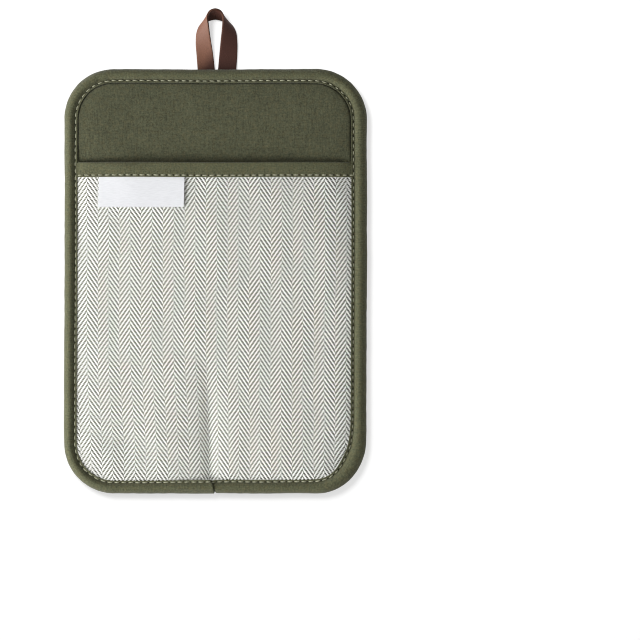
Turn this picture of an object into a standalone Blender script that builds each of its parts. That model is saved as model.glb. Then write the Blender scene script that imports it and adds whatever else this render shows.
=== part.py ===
"""A padded pot holder: cotton front with a hand pocket, ribbed silicone back, leather loop.

It lies on its ribbed back with the pocket up. +X is to the right of the pocket,
+Y runs up towards the hanging loop and +Z is up. The origin is the middle of the
back, on the crest of a rib, where the pot holder touches the table.
"""

import math
from collections import namedtuple

import bmesh
import bpy
from mathutils import Vector

MM = 0.001

# Driving sizes
WIDTH = 181 * MM
HEIGHT = 254 * MM
CORNER_RADIUS = 30 * MM
GAP = 0.3 * MM                # air between two pieces that touch on the real thing
CLOTH = 1.0 * MM              # one thickness of tape or cloth
STRAP_THICKNESS = 1.3 * MM
TOP_DIP = 0.35 * MM           # the loop pulls the top edge in by this much
TOP_DIP_WIDTH = 28 * MM
SIDE_WAVE = 0.22 * MM         # the sides wander by this much
SIDE_WAVE_LENGTH = 37 * MM
SIDE_WAVE_PHASE = 0.6

# Levels of the sewn stack above the table, inside the edge binding
SEAM_LEVEL_BACK = 3.3 * MM    # underside of the silicone sheet
SHEET = 1.0 * MM              # silicone sheet between its ribs
SEAM_PAD_UNDER = SEAM_LEVEL_BACK + SHEET + GAP
SEAM_PAD_POCKETED = SEAM_PAD_UNDER + CLOTH
SEAM_PAD_BARE = SEAM_PAD_POCKETED + GAP + CLOTH

# Levels in the middle of the field
RIB_HEIGHT = 1.2 * MM
FIELD_PAD_UNDER = RIB_HEIGHT + SHEET + GAP
FIELD_PAD_POCKETED = 7.6 * MM
FIELD_PAD_BARE = 8.4 * MM

# The padding swells from the seam inwards
SEAM_INSET = 8.5 * MM         # inner edge of the binding, from the outline
FRONT_SWELL = 16 * MM         # width over which the front swells to its full height
BACK_SWELL = 15.5 * MM
BACK_SLOPE_GAP = 0.3 * MM     # extra air halfway up the slope, where the layouts differ
FOLD_FADE = 6 * MM            # the soft folds die out this close to the seam
FOLD_TAPER = 0.4              # share of a fold's length where it has its full depth

# Pocket mouth
MOUTH_Y = 71.9 * MM           # top of the folded tape on the mouth
BAND_WIDTH = 9.0 * MM         # the tape's front leg
BAND_TURN_IN = 6.0 * MM       # the tape's hidden leg inside the pocket
MOUTH_LIFT = 5.9 * MM         # how far the mouth gapes at its highest place
MOUTH_LIFT_X = -12 * MM
LIFT_FOOT_Y = 2 * MM          # below this the pocket lies on the padding
LIFT_SQUARENESS = 3.4         # higher keeps the mouth open nearer to its ends
PAD_BARE_FROM_Y = 72.5 * MM   # the padding rises here, above the mouth
PAD_BARE_TO_Y = 80.5 * MM
# The tape's fold closes under the mouth's edge where the mouth has lifted enough
# to leave room for it, and its hidden leg lengthens after that
FOLD_OPEN_LIFT = 0.5 * MM
FOLD_CLOSED_LIFT = 2.3 * MM
LEG_START_LIFT = 2.2 * MM
LEG_FULL_LIFT = 3.4 * MM
OPEN_FOLD_TURN = 20           # degrees above level where the unclosed fold ends
CLOSED_FOLD_TURN = -90
OPEN_FOLD_LEG = 0.5 * MM
FOLD_STEPS = 4

# Blank woven label, just under the band
LABEL_LEFT = -70.4 * MM
LABEL_RIGHT = -19.2 * MM
LABEL_BOTTOM = 44.8 * MM
LABEL_SKEW = 0.6 * MM         # the lower edge sits this much further left

# Ribs of the silicone back
RIB_COUNT = 34
RIB_PITCH = 6.93 * MM
FIRST_RIB_Y = 120.2 * MM      # the groove above the topmost rib
RIB_END_INSET = 8.9 * MM      # the ribs fade out where the binding covers them
RIB_END_LENGTH = 1.1 * MM
STATION_SPACING = 0.8 * MM    # least space between two stations near the rounded ends

# Sheet layout: distances from the outline where the layout has a ring of points,
# down to the corner's own centre, then straight columns and rows
RING_INSETS = [inset * MM for inset in (3.0, 8.5, 10.0, 13.0, 17.0, 24.0, 30.0)]
RINGS = len(RING_INSETS) - 1
CORNER_X = WIDTH / 2 - CORNER_RADIUS
CORNER_Y = HEIGHT / 2 - CORNER_RADIUS
INNER_XS = [x * MM for x in (-50, -39, -28, -17, -10, -4.5, 1, 9, 22, 36, 49)]
COLUMN_XS = [-CORNER_X] + INNER_XS + [CORNER_X]
POCKET_ROW_YS = [-CORNER_Y] + [y * MM for y in (-84, -68, -50, -30, -8, 16, 36, 50, 62, 70.2)]
BARE_ROW_YS = [y * MM for y in (73.5, 78, 86)] + [CORNER_Y]

Edge = namedtuple("Edge", "inset height")
# Outer face of the edge binding, from its front inner edge round to the back one:
# a lip, a groove pulled in by the stitches, and the round roll between them
BINDING_SECTION = [
    Edge(inset=8.0, height=8.10),
    Edge(inset=7.4, height=8.40),
    Edge(inset=6.7, height=8.20),
    Edge(inset=5.2, height=8.60),
    Edge(inset=3.2, height=8.40),
    Edge(inset=1.2, height=7.35),
    Edge(inset=0.0, height=5.10),
    Edge(inset=1.2, height=2.85),
    Edge(inset=3.2, height=1.80),
    Edge(inset=5.4, height=1.70),
    Edge(inset=7.0, height=2.00),
    Edge(inset=7.7, height=1.85),
    Edge(inset=8.4, height=2.05),
]
LAP_FRONT_X = -2.8 * MM       # the folded end that lies on top, at its front corner
LAP_OUTER_X = -0.6 * MM       # and at the outer edge and behind
LAP_START_X = -12 * MM        # where the covered end begins
LAP_TOP_X = -13.5 * MM        # the upper end is fully on top from here
LAP_RISE = 24 * MM            # length over which the upper end climbs
LAP_FOOT_X = LAP_TOP_X - LAP_RISE
LAP_XS = [-CORNER_X, -46 * MM, LAP_FOOT_X, -27.9 * MM, -20.7 * MM, LAP_TOP_X, LAP_OUTER_X]
SIDE_STEPS = 8
END_STEPS = 6
CORNER_STEPS = 7

Rib = namedtuple("Rib", "down height")
# One rib and its bead, down the sheet from the deep groove above it
RIB_SECTION = [
    Rib(down=0.0, height=0.0),
    Rib(down=1.0, height=0.85),
    Rib(down=1.8, height=RIB_HEIGHT / MM),
    Rib(down=3.7, height=RIB_HEIGHT / MM),
    Rib(down=4.8, height=0.45),
    Rib(down=5.7, height=0.85),
]

Fold = namedtuple("Fold", "x_low y_low x_high y_high half_width rise_low rise_high")
# Soft troughs and ridges of the quilted front, each along a line from low to high
FOLDS = [
    Fold(x_low=-6.0, y_low=-119, x_high=-4.0, y_high=-42, half_width=7, rise_low=-1.1, rise_high=0.0),
    Fold(x_low=3.0, y_low=-119, x_high=1.0, y_high=-55, half_width=7, rise_low=0.45, rise_high=0.0),
    Fold(x_low=-54, y_low=-119, x_high=-52, y_high=-30, half_width=11, rise_low=-0.4, rise_high=0.0),
    Fold(x_low=-30, y_low=-112, x_high=-28, y_high=-35, half_width=11, rise_low=0.35, rise_high=0.0),
    Fold(x_low=38, y_low=-115, x_high=37, y_high=-50, half_width=13, rise_low=0.4, rise_high=0.1),
    Fold(x_low=60, y_low=-100, x_high=58, y_high=20, half_width=14, rise_low=0.2, rise_high=-0.35),
]

Strap = namedtuple("Strap", "inner_x inner_y inner_z outer_x outer_y outer_z")
# The leather strap from its left sewn end, up round the arch and down to its right
# one: a row for each section, with the edge next to the opening and the other edge
STRAP_SECTIONS = [
    Strap(inner_x=0.3, inner_y=118.7, inner_z=0.75, outer_x=-9.7, outer_y=118.7, outer_z=0.75),
    Strap(inner_x=0.0, inner_y=123.5, inner_z=0.75, outer_x=-10.0, outer_y=123.5, outer_z=0.75),
    Strap(inner_x=-0.5, inner_y=128.5, inner_z=0.95, outer_x=-10.5, outer_y=128.5, outer_z=0.75),
    Strap(inner_x=-1.4, inner_y=136.5, inner_z=2.0, outer_x=-11.3, outer_y=136.0, outer_z=0.75),
    Strap(inner_x=-2.8, inner_y=145.3, inner_z=4.1, outer_x=-11.7, outer_y=143.3, outer_z=0.8),
    Strap(inner_x=-3.9, inner_y=153.3, inner_z=6.4, outer_x=-11.0, outer_y=149.6, outer_z=0.9),
    Strap(inner_x=-4.4, inner_y=158.4, inner_z=7.8, outer_x=-8.6, outer_y=153.6, outer_z=1.0),
    Strap(inner_x=-3.2, inner_y=162.1, inner_z=8.2, outer_x=-5.0, outer_y=155.4, outer_z=1.0),
    Strap(inner_x=-0.9, inner_y=163.5, inner_z=8.3, outer_x=-1.2, outer_y=156.3, outer_z=1.1),
    Strap(inner_x=1.1, inner_y=163.5, inner_z=8.3, outer_x=1.4, outer_y=156.3, outer_z=1.1),
    Strap(inner_x=3.4, inner_y=162.1, inner_z=8.2, outer_x=5.2, outer_y=155.4, outer_z=1.0),
    Strap(inner_x=4.6, inner_y=158.4, inner_z=7.8, outer_x=8.9, outer_y=153.7, outer_z=1.0),
    Strap(inner_x=4.4, inner_y=153.3, inner_z=6.4, outer_x=11.5, outer_y=149.6, outer_z=0.9),
    Strap(inner_x=3.4, inner_y=145.3, inner_z=4.1, outer_x=12.4, outer_y=143.3, outer_z=0.8),
    Strap(inner_x=2.4, inner_y=136.5, inner_z=2.0, outer_x=12.3, outer_y=136.0, outer_z=0.75),
    Strap(inner_x=1.6, inner_y=128.5, inner_z=0.95, outer_x=11.6, outer_y=128.5, outer_z=0.75),
    Strap(inner_x=1.2, inner_y=123.5, inner_z=0.75, outer_x=11.2, outer_y=123.5, outer_z=0.75),
    Strap(inner_x=0.9, inner_y=118.7, inner_z=0.75, outer_x=10.9, outer_y=118.7, outer_z=0.75),
]


# ---------------------------------------------------------------- shape helpers

def ease(value, start, end):
    """0 before start and 1 after end, with a soft rise between them."""
    share = min(max((value - start) / (end - start), 0.0), 1.0)
    return share * share * (3.0 - 2.0 * share)


def mix(start, end, share):
    return start + (end - start) * share


def inset_at(x, y):
    """How far a point lies inside the pot holder's outline."""
    past_x = abs(x) - CORNER_X
    past_y = abs(y) - CORNER_Y
    round_part = math.hypot(max(past_x, 0.0), max(past_y, 0.0))
    return CORNER_RADIUS - round_part - min(max(past_x, past_y), 0.0)


def fold_rise(x, y):
    """Height of the soft folds of the front at a point."""
    total = 0.0
    for fold in FOLDS:
        low_y = fold.y_low * MM
        high_y = fold.y_high * MM
        along = (y - low_y) / (high_y - low_y)
        centre = mix(fold.x_low, fold.x_high, along) * MM
        across = (x - centre) / (fold.half_width * MM)
        rise = mix(fold.rise_low, fold.rise_high, ease(along, 0.0, 1.0)) * MM
        total += rise * math.exp(-across * across) * ease(along, 1.0, FOLD_TAPER)
    return total * ease(inset_at(x, y), SEAM_INSET, SEAM_INSET + FOLD_FADE)


def bare_share(y):
    """0 where the pocket covers the padding, 1 above the mouth."""
    return ease(y, PAD_BARE_FROM_Y, PAD_BARE_TO_Y)


def pad_top(x, y):
    seam = mix(SEAM_PAD_POCKETED, SEAM_PAD_BARE, bare_share(y))
    field = mix(FIELD_PAD_POCKETED, FIELD_PAD_BARE, bare_share(y))
    swell = min(max((inset_at(x, y) - SEAM_INSET) / FRONT_SWELL, 0.0), 1.0)
    return mix(seam, field, 1.0 - (1.0 - swell) ** 2) + fold_rise(x, y)


def back_swell(x, y):
    """0 at the seam, 1 where the back has reached its full depth."""
    return ease(inset_at(x, y), SEAM_INSET, SEAM_INSET + BACK_SWELL)


def pad_underside(x, y):
    return mix(SEAM_PAD_UNDER, FIELD_PAD_UNDER, back_swell(x, y))


def sheet_top(x, y):
    """Flat side of the silicone sheet, just under the padding."""
    swell = back_swell(x, y)
    return pad_underside(x, y) - GAP - BACK_SLOPE_GAP * 4.0 * swell * (1.0 - swell)


def mouth_lift(x, y):
    """How far the pocket stands off the padding towards its mouth."""
    reach = WIDTH / 2 - SEAM_INSET - abs(MOUTH_LIFT_X)
    if x > MOUTH_LIFT_X:
        reach = WIDTH / 2 - SEAM_INSET + abs(MOUTH_LIFT_X)
    across = min(abs(x - MOUTH_LIFT_X) / reach, 1.0)
    return MOUTH_LIFT * (1.0 - across ** LIFT_SQUARENESS) * ease(y, LIFT_FOOT_Y, MOUTH_Y)


def pocket_underside(x, y):
    return pad_top(x, y) + GAP + mouth_lift(x, y)


def pocket_top(x, y):
    return pocket_underside(x, y) + CLOTH


def sewn(x, y, z):
    """Put a point in place, with the slight wander of hand-guided sewing."""
    top_dip = TOP_DIP * math.exp(-(x / TOP_DIP_WIDTH) ** 2) * ease(y, 0.0, CORNER_Y)
    side_wave = SIDE_WAVE * math.sin(y / SIDE_WAVE_LENGTH + SIDE_WAVE_PHASE)
    return Vector((x + side_wave, y - top_dip, z))


def ring_point(column, row, column_count, row_count, row_ys, open_top):
    """Plan position of a layout point: rings near the outline, then columns and rows."""
    column_ring = min(column, column_count - column, RINGS)
    row_ring = min(row, RINGS) if open_top else min(row, row_count - row, RINGS)
    side_x = -1.0 if column < column_count / 2 else 1.0
    side_y = 1.0 if row_ring < RINGS and row > row_count / 2 else -1.0
    if column_ring < RINGS and row_ring < RINGS:
        ring = min(column_ring, row_ring)
        radius = CORNER_RADIUS - RING_INSETS[ring]
        if column_ring <= row_ring:
            turn = math.radians(45) * (RINGS - row_ring) / (RINGS - ring)
        else:
            turn = math.radians(90) - math.radians(45) * (RINGS - column_ring) / (RINGS - ring)
        x = side_x * (CORNER_X + radius * math.cos(turn))
        y = side_y * (CORNER_Y + radius * math.sin(turn))
        return x, y
    if column_ring < RINGS:
        return side_x * (WIDTH / 2 - RING_INSETS[column_ring]), row_ys[row - RINGS]
    if row_ring < RINGS:
        return COLUMN_XS[column - RINGS], side_y * (HEIGHT / 2 - RING_INSETS[row_ring])
    return COLUMN_XS[column - RINGS], row_ys[row - RINGS]


# ---------------------------------------------------------------- object helpers

def linear(channel):
    """One 0-255 screen colour channel as Blender's linear value."""
    value = channel / 255.0
    return value / 12.92 if value <= 0.04045 else ((value + 0.055) / 1.055) ** 2.4


def finish(name, colour, roughness):
    material = bpy.data.materials.new(name)
    material.use_nodes = True
    shader = material.node_tree.nodes["Principled BSDF"]
    shader.inputs["Base Color"].default_value = [linear(channel) for channel in colour] + [1.0]
    shader.inputs["Roughness"].default_value = roughness
    shader.inputs["Metallic"].default_value = 0.0
    return material


def add_part(name, mesh, material, collection):
    part = bpy.data.objects.new(name, mesh)
    part.data.materials.append(material)
    collection.objects.link(part)
    part.data.shade_smooth()
    part.data.set_sharp_from_angle(angle=math.radians(40))
    return part


def grid_mesh(name, columns, rows, place):
    """A grid of cells laid out by place(column, row), both counted from zero."""
    mesh = bpy.data.meshes.new(name)
    cells = bmesh.new()
    bmesh.ops.create_grid(cells, x_segments=columns, y_segments=rows, size=1.0)
    for point in cells.verts:
        column = round((point.co.x + 1.0) / 2.0 * columns)
        row = round((point.co.y + 1.0) / 2.0 * rows)
        point.co = place(column, row)
    cells.to_mesh(mesh)
    cells.free()
    return mesh


def filled_mesh(name, columns, rows, place_under, place_top):
    """A filled form between two faces that share one layout."""
    mesh = bpy.data.meshes.new(name)
    cells = bmesh.new()
    bmesh.ops.create_grid(cells, x_segments=columns, y_segments=rows, size=1.0)
    raised = bmesh.ops.extrude_face_region(cells, geom=cells.faces[:])
    upper = {item for item in raised["geom"] if isinstance(item, bmesh.types.BMVert)}
    for point in cells.verts:
        column = round((point.co.x + 1.0) / 2.0 * columns)
        row = round((point.co.y + 1.0) / 2.0 * rows)
        point.co = place_top(column, row) if point in upper else place_under(column, row)
    bmesh.ops.recalc_face_normals(cells, faces=cells.faces[:])
    cells.to_mesh(mesh)
    cells.free()
    return mesh


def thicken(part, thickness, offset):
    """Give an open sheet its thickness: offset 1 grows along its faces, -1 against them."""
    solid = part.modifiers.new("thickness", "SOLIDIFY")
    solid.thickness = thickness
    solid.offset = offset
    solid.use_even_offset = True


# ---------------------------------------------------------------- the pieces

def make_front_pad(material, collection):
    """Olive cotton front with its wadding, one filled form under the pocket and above it."""
    row_ys = POCKET_ROW_YS + BARE_ROW_YS
    columns = 2 * RINGS + len(COLUMN_XS) - 1
    rows = 2 * RINGS + len(row_ys) - 1

    def place(column, row, level):
        x, y = ring_point(column, row, columns, rows, row_ys, open_top=False)
        return sewn(x, y, level(x, y))

    mesh = filled_mesh(
        "front_pad", columns, rows,
        lambda column, row: place(column, row, pad_underside),
        lambda column, row: place(column, row, pad_top))
    add_part("front_pad", mesh, material, collection)


def make_pocket(material, collection):
    """Herringbone panel, sewn in on three sides and standing off a little at its mouth."""
    columns = 2 * RINGS + len(COLUMN_XS) - 1
    rows = RINGS + len(POCKET_ROW_YS) - 1

    def place(column, row):
        x, y = ring_point(column, row, columns, rows, POCKET_ROW_YS, open_top=True)
        return sewn(x, y, pocket_underside(x, y))

    pocket = add_part("pocket", grid_mesh("pocket", columns, rows, place), material, collection)
    thicken(pocket, CLOTH, 1.0)


def band_section(x):
    """Outer face of the mouth's folded tape at x: front leg, round fold, hidden leg."""
    fold_radius = 1.5 * CLOTH + GAP
    fold_y = MOUTH_Y - fold_radius
    fold_z = pocket_underside(x, fold_y) + CLOTH / 2
    lift = mouth_lift(x, MOUTH_Y)
    wrap = ease(lift, FOLD_OPEN_LIFT, FOLD_CLOSED_LIFT)
    last_turn = math.radians(mix(OPEN_FOLD_TURN, CLOSED_FOLD_TURN, wrap))
    turn_in = mix(OPEN_FOLD_LEG, BAND_TURN_IN, ease(lift, LEG_START_LIFT, LEG_FULL_LIFT))

    section = []
    for y in (MOUTH_Y - BAND_WIDTH, mix(MOUTH_Y - BAND_WIDTH, fold_y, 0.5)):
        section.append((y, pocket_top(x, y) + GAP + CLOTH))
    for step in range(FOLD_STEPS + 1):
        turn = mix(math.radians(90), last_turn, step / FOLD_STEPS)
        section.append((fold_y + fold_radius * math.cos(turn), fold_z + fold_radius * math.sin(turn)))
    start_y, start_z = section[-1]
    for share in (0.5, 1.0):
        length = turn_in * share
        leg_y = start_y + math.sin(last_turn) * length
        leg_z = start_z - math.cos(last_turn) * length
        leg_z += (pocket_underside(x, leg_y) - pocket_underside(x, start_y)) * wrap
        section.append((leg_y, leg_z))
    return section


def make_pocket_binding(material, collection):
    """Tape folded over the pocket's mouth, from seam to seam."""
    end_x = WIDTH / 2 - BINDING_SECTION[0].inset * MM - GAP
    side_xs = [end_x] + [WIDTH / 2 - inset for inset in RING_INSETS[2:-1]]
    xs = [-x for x in side_xs] + COLUMN_XS + side_xs[::-1]
    sections = [band_section(x) for x in xs]

    def place(column, row):
        y, z = sections[column][row]
        return sewn(xs[column], y, z)

    mesh = grid_mesh("pocket_binding", len(xs) - 1, len(sections[0]) - 1, place)
    band = add_part("pocket_binding", mesh, material, collection)
    thicken(band, CLOTH, -1.0)


def make_label(material, collection):
    """Blank satin label lying on the pocket, its top edge against the band."""
    columns = 8
    rows = 3
    top = MOUTH_Y - BAND_WIDTH - GAP

    def place(column, row):
        up = row / rows
        x = mix(LABEL_LEFT, LABEL_RIGHT, column / columns) - LABEL_SKEW * (1.0 - up)
        y = mix(LABEL_BOTTOM, top, up)
        return sewn(x, y, pocket_top(x, y) + GAP)

    label = add_part("label", grid_mesh("label", columns, rows, place), material, collection)
    thicken(label, CLOTH, 1.0)


def binding_path():
    """Stations along the outline, from the covered end round to the end that laps over it.

    Each is (x, y, outward x, outward y, lap), with lap from 0 to 1 on the upper end.
    """
    half_w = WIDTH / 2
    half_h = HEIGHT / 2
    stations = []

    def straight(start, end, outward, steps):
        for step in range(steps):
            share = step / steps
            stations.append((mix(start[0], end[0], share), mix(start[1], end[1], share), *outward, 0.0))

    def corner(centre_x, centre_y, first_degrees):
        for step in range(CORNER_STEPS):
            turn = math.radians(first_degrees + 90 * step / CORNER_STEPS)
            out_x = math.cos(turn)
            out_y = math.sin(turn)
            stations.append((centre_x + CORNER_RADIUS * out_x, centre_y + CORNER_RADIUS * out_y,
                             out_x, out_y, 0.0))

    straight((LAP_START_X, -half_h), (CORNER_X, -half_h), (0.0, -1.0), END_STEPS - 1)
    corner(CORNER_X, -CORNER_Y, -90)
    straight((half_w, -CORNER_Y), (half_w, CORNER_Y), (1.0, 0.0), SIDE_STEPS)
    corner(CORNER_X, CORNER_Y, 0)
    straight((CORNER_X, half_h), (-CORNER_X, half_h), (0.0, 1.0), END_STEPS + 1)
    corner(-CORNER_X, CORNER_Y, 90)
    straight((-half_w, CORNER_Y), (-half_w, -CORNER_Y), (-1.0, 0.0), SIDE_STEPS)
    corner(-CORNER_X, -CORNER_Y, 180)
    for x in LAP_XS:
        stations.append((x, -half_h, 0.0, -1.0, ease(x, LAP_FOOT_X, LAP_TOP_X)))
    return stations


def make_edge_binding(material, collection):
    """Cotton tape folded round the edge, its folded end lapping over its start."""
    stations = binding_path()
    points = BINDING_SECTION
    last = len(points) - 1
    leans = []
    for index in range(len(points)):
        before = points[max(index - 1, 0)]
        after = points[min(index + 1, last)]
        run = after.inset - before.inset
        climb = after.height - before.height
        length = math.hypot(run, climb)
        leans.append((climb / length, -run / length))

    def place(column, row):
        x, y, out_x, out_y, lap = stations[column]
        lean_in, lean_up = leans[row]
        raised = (CLOTH + GAP) * lap
        inset = points[row].inset * MM + lean_in * raised
        height = points[row].height * MM + lean_up * raised
        if column == len(stations) - 1:
            x = mix(LAP_FRONT_X, LAP_OUTER_X, min(2.0 * row / last, 1.0))
        return sewn(x - out_x * inset, y - out_y * inset, height)

    mesh = grid_mesh("edge_binding", len(stations) - 1, last, place)
    binding = add_part("edge_binding", mesh, material, collection)
    thicken(binding, CLOTH, 1.0)


def rib_rows():
    """Rows of the ribbed face from top to bottom, each (y, height of the rib there)."""
    top = HEIGHT / 2
    rows = [(top - RING_INSETS[0], 0.0)]
    for rib in range(RIB_COUNT):
        start = FIRST_RIB_Y - rib * RIB_PITCH
        rows += [(start - point.down * MM, point.height * MM) for point in RIB_SECTION]
    rows.append((FIRST_RIB_Y - RIB_COUNT * RIB_PITCH, 0.0))
    rows += [(inset - top, 0.0) for inset in reversed(RING_INSETS[:2])]
    return rows


def half_widths(y, insets):
    """Half the width at y of the outline drawn in by each inset, kept apart near the ends."""
    past = max(abs(y) - CORNER_Y, 0.0)
    widths = []
    for inset in insets:
        radius = CORNER_RADIUS - inset
        width = CORNER_X + math.sqrt(max(radius * radius - past * past, 0.0))
        if widths:
            width = min(width, widths[-1] - STATION_SPACING)
        widths.append(width)
    return widths


def make_silicone_back(material, collection):
    """Silicone sheet, flat on the padding's side and ribbed on the other.

    A loft of sections across the width: each has the ribbed face and the flat one.
    """
    ribbed = rib_rows()
    flat_ys = [inset - HEIGHT / 2 for inset in RING_INSETS]
    flat_ys += POCKET_ROW_YS[1:] + BARE_ROW_YS[1:-1]
    flat_ys += [HEIGHT / 2 - inset for inset in reversed(RING_INSETS)]
    side_insets = RING_INSETS[:3] + RING_INSETS[4:6]
    stations = [(-1.0, index) for index in range(len(side_insets))]
    stations += [(1.0, index) for index in reversed(range(len(side_insets)))]

    def ribbed_level(x, y, rib):
        shown = ease(inset_at(x, y), RIB_END_INSET, RIB_END_INSET + RIB_END_LENGTH)
        return sheet_top(x, y) - SHEET - rib * shown

    cells = bmesh.new()
    sections = []
    for side, index in stations:
        section = []
        for y, rib in ribbed:
            x = side * half_widths(y, side_insets)[index]
            section.append(cells.verts.new(sewn(x, y, ribbed_level(x, y, rib))))
        for y in flat_ys:
            x = side * half_widths(y, side_insets)[index]
            section.append(cells.verts.new(sewn(x, y, sheet_top(x, y))))
        sections.append(section)
    for left, right in zip(sections, sections[1:]):
        for index in range(len(left)):
            follow = (index + 1) % len(left)
            cells.faces.new((left[index], right[index], right[follow], left[follow]))
    cells.faces.new(sections[0])
    cells.faces.new(reversed(sections[-1]))
    mesh = bpy.data.meshes.new("silicone_back")
    cells.to_mesh(mesh)
    cells.free()
    add_part("silicone_back", mesh, material, collection)


def make_hanging_loop(material, collection):
    """Leather strap: two flat ends sewn on behind, its edge turned up round the arch."""
    def place(column, row):
        strap = STRAP_SECTIONS[column]
        if row == 0:
            return sewn(strap.outer_x * MM, strap.outer_y * MM, strap.outer_z * MM)
        return sewn(strap.inner_x * MM, strap.inner_y * MM, strap.inner_z * MM)

    mesh = grid_mesh("hanging_loop", len(STRAP_SECTIONS) - 1, 1, place)
    loop = add_part("hanging_loop", mesh, material, collection)
    thicken(loop, STRAP_THICKNESS, 0.0)


def main():
    for item in list(bpy.data.objects):
        bpy.data.objects.remove(item, do_unlink=True)
    collection = bpy.data.collections.new("pot_holder")
    bpy.context.scene.collection.children.link(collection)

    olive_cotton = finish("olive_cotton", (81, 82, 64), 0.9)
    olive_tape = finish("olive_tape", (88, 89, 69), 0.9)
    herringbone = finish("herringbone", (196, 197, 189), 0.9)
    silicone = finish("silicone", (66, 65, 46), 0.5)
    leather = finish("leather", (100, 72, 60), 0.55)
    satin = finish("satin", (233, 234, 236), 0.45)

    make_front_pad(olive_cotton, collection)
    make_silicone_back(silicone, collection)
    make_pocket(herringbone, collection)
    make_pocket_binding(olive_tape, collection)
    make_edge_binding(olive_tape, collection)
    make_hanging_loop(leather, collection)
    make_label(satin, collection)


main()
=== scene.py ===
"""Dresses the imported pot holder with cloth, tape, silicone, leather and stitches.

It lies on its ribbed back with the pocket up, +Y towards the hanging loop and +Z up.
Each piece is made from the sizes of the solid that it stands for.
"""

import math
from collections import namedtuple

import bpy
import numpy as np
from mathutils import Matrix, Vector


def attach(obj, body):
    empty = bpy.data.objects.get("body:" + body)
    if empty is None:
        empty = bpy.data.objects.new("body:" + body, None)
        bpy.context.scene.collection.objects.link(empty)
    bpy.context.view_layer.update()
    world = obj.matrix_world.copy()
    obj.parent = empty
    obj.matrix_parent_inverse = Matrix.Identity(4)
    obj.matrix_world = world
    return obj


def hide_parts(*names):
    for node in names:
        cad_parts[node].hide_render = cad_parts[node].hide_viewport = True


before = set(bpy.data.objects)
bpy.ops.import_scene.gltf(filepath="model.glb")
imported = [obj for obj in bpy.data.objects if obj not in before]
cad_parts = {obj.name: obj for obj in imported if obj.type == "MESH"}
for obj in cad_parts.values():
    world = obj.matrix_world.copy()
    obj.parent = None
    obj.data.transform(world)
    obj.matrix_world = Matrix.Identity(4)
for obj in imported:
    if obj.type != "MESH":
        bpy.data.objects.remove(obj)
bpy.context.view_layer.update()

bl_info = {
    "name": "Pot Holder Finish",
    "version": (1, 0, 0),
    "blender": (4, 5, 0),
    "location": "View3D > Sidebar > Pot Holder",
    "description": "Cloth, tape, silicone, leather and stitches for a padded pot holder",
    "category": "Object",
}

MM = 0.001
AIR = 0.08 * MM               # between two layers that lie on each other

# Levels of the sewn stack under the edge tape, above the table
SILICONE_SEAM = 2.75 * MM     # underside of the silicone sheet
SILICONE_SHEET = 1.0 * MM
PAD_SEAM_UNDER = SILICONE_SEAM + SILICONE_SHEET + AIR
PAD_SEAM_POCKETED = 6.95 * MM
PAD_SEAM_BARE = 7.75 * MM

# Levels in the middle of the field
PAD_FIELD_UNDER = 2.4 * MM
PAD_FIELD_POCKETED = 8.0 * MM
PAD_FIELD_BARE = 8.6 * MM

# Insets of the mesh columns near the lip, in mm
LIP_SPACING = (3.0, 4.6, 5.8, 6.6, 7.1, 7.4, 7.65, 7.9, 8.15, 8.4, 8.65, 8.9, 9.15, 9.4, 9.65, 9.9,
               10.3, 10.9, 11.7, 12.8)
FINE_WITHIN = 14.2 * MM
FRONT_STEP = 1.9 * MM         # mesh step in the field of the front and of the pocket
POCKET_STEP = 1.5 * MM
LAST_ROW_GAP = 0.4 * MM       # least space under the pocket's raw edge
SHEET_EDGE = 3.0 * MM         # the sheets end this far inside the outline, under the tape
BACK_SEAM_INSET = 8.4 * MM    # the back bulges from here inwards
FRONT_SWELL = 15 * MM         # width of the slope inwards from the tape's lip
BACK_SWELL = 15.5 * MM
SEAM_DIP = 0.75 * MM          # the bare panel is pulled down this far beside the lip
SEAM_DIP_POCKETED = 0.05 * MM
SEAM_DIP_INSET = 0.3 * MM
SEAM_DIP_WIDTH = 0.4 * MM
SEAM_PULL = 0.5 * MM          # and this much more at the lip, dying out inwards
SEAM_PULL_POCKETED = 0.15 * MM
SEAM_PULL_WIDTH = 2.2 * MM
SEAM_PRESS = 1.25 * MM        # the stitches press the layers under the lip by this much
SEAM_PRESS_FROM = 0.2 * MM    # between these distances outwards from it
SEAM_PRESS_TO = 1.3 * MM
PUCKER_WIDTH = 7 * MM         # puckers die out inwards over this

# How far the tape's front lip reaches in on each side; it was guided by hand
REACH_LEFT = 7.7 * MM
REACH_TOP = 8.1 * MM
REACH_RIGHT = 9.4 * MM
REACH_BOTTOM_RIGHT = 8.2 * MM
# Where one side's reach turns into the next one's
TURN_TO_TOP_Y = (60 * MM, 120 * MM)
TURN_TO_BOTTOM_Y = (-90 * MM, -118 * MM)
TURN_AT_LAP_X = (-4 * MM, 2 * MM)
TURN_TO_RIGHT_X = (48 * MM, 84 * MM)
# The lower right corner: the lip lies further in, and it all is sewn further in
CORNER_X = 80 * MM
CORNER_Y = -107 * MM
CORNER_WIDTH = 13 * MM
CORNER_REACH = 2.0 * MM
CORNER_DRAWN_X = 0.8 * MM
CORNER_DRAWN_Y = 0.4 * MM
TOP_DIP = 0.35 * MM           # the loop pulls the top edge in by this much
TOP_DIP_WIDTH = 28 * MM
SIDE_WAVE = 0.22 * MM         # the sides wander by this much
SIDE_WAVE_LENGTH = 37 * MM
SIDE_WAVE_PHASE = 0.6

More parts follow.
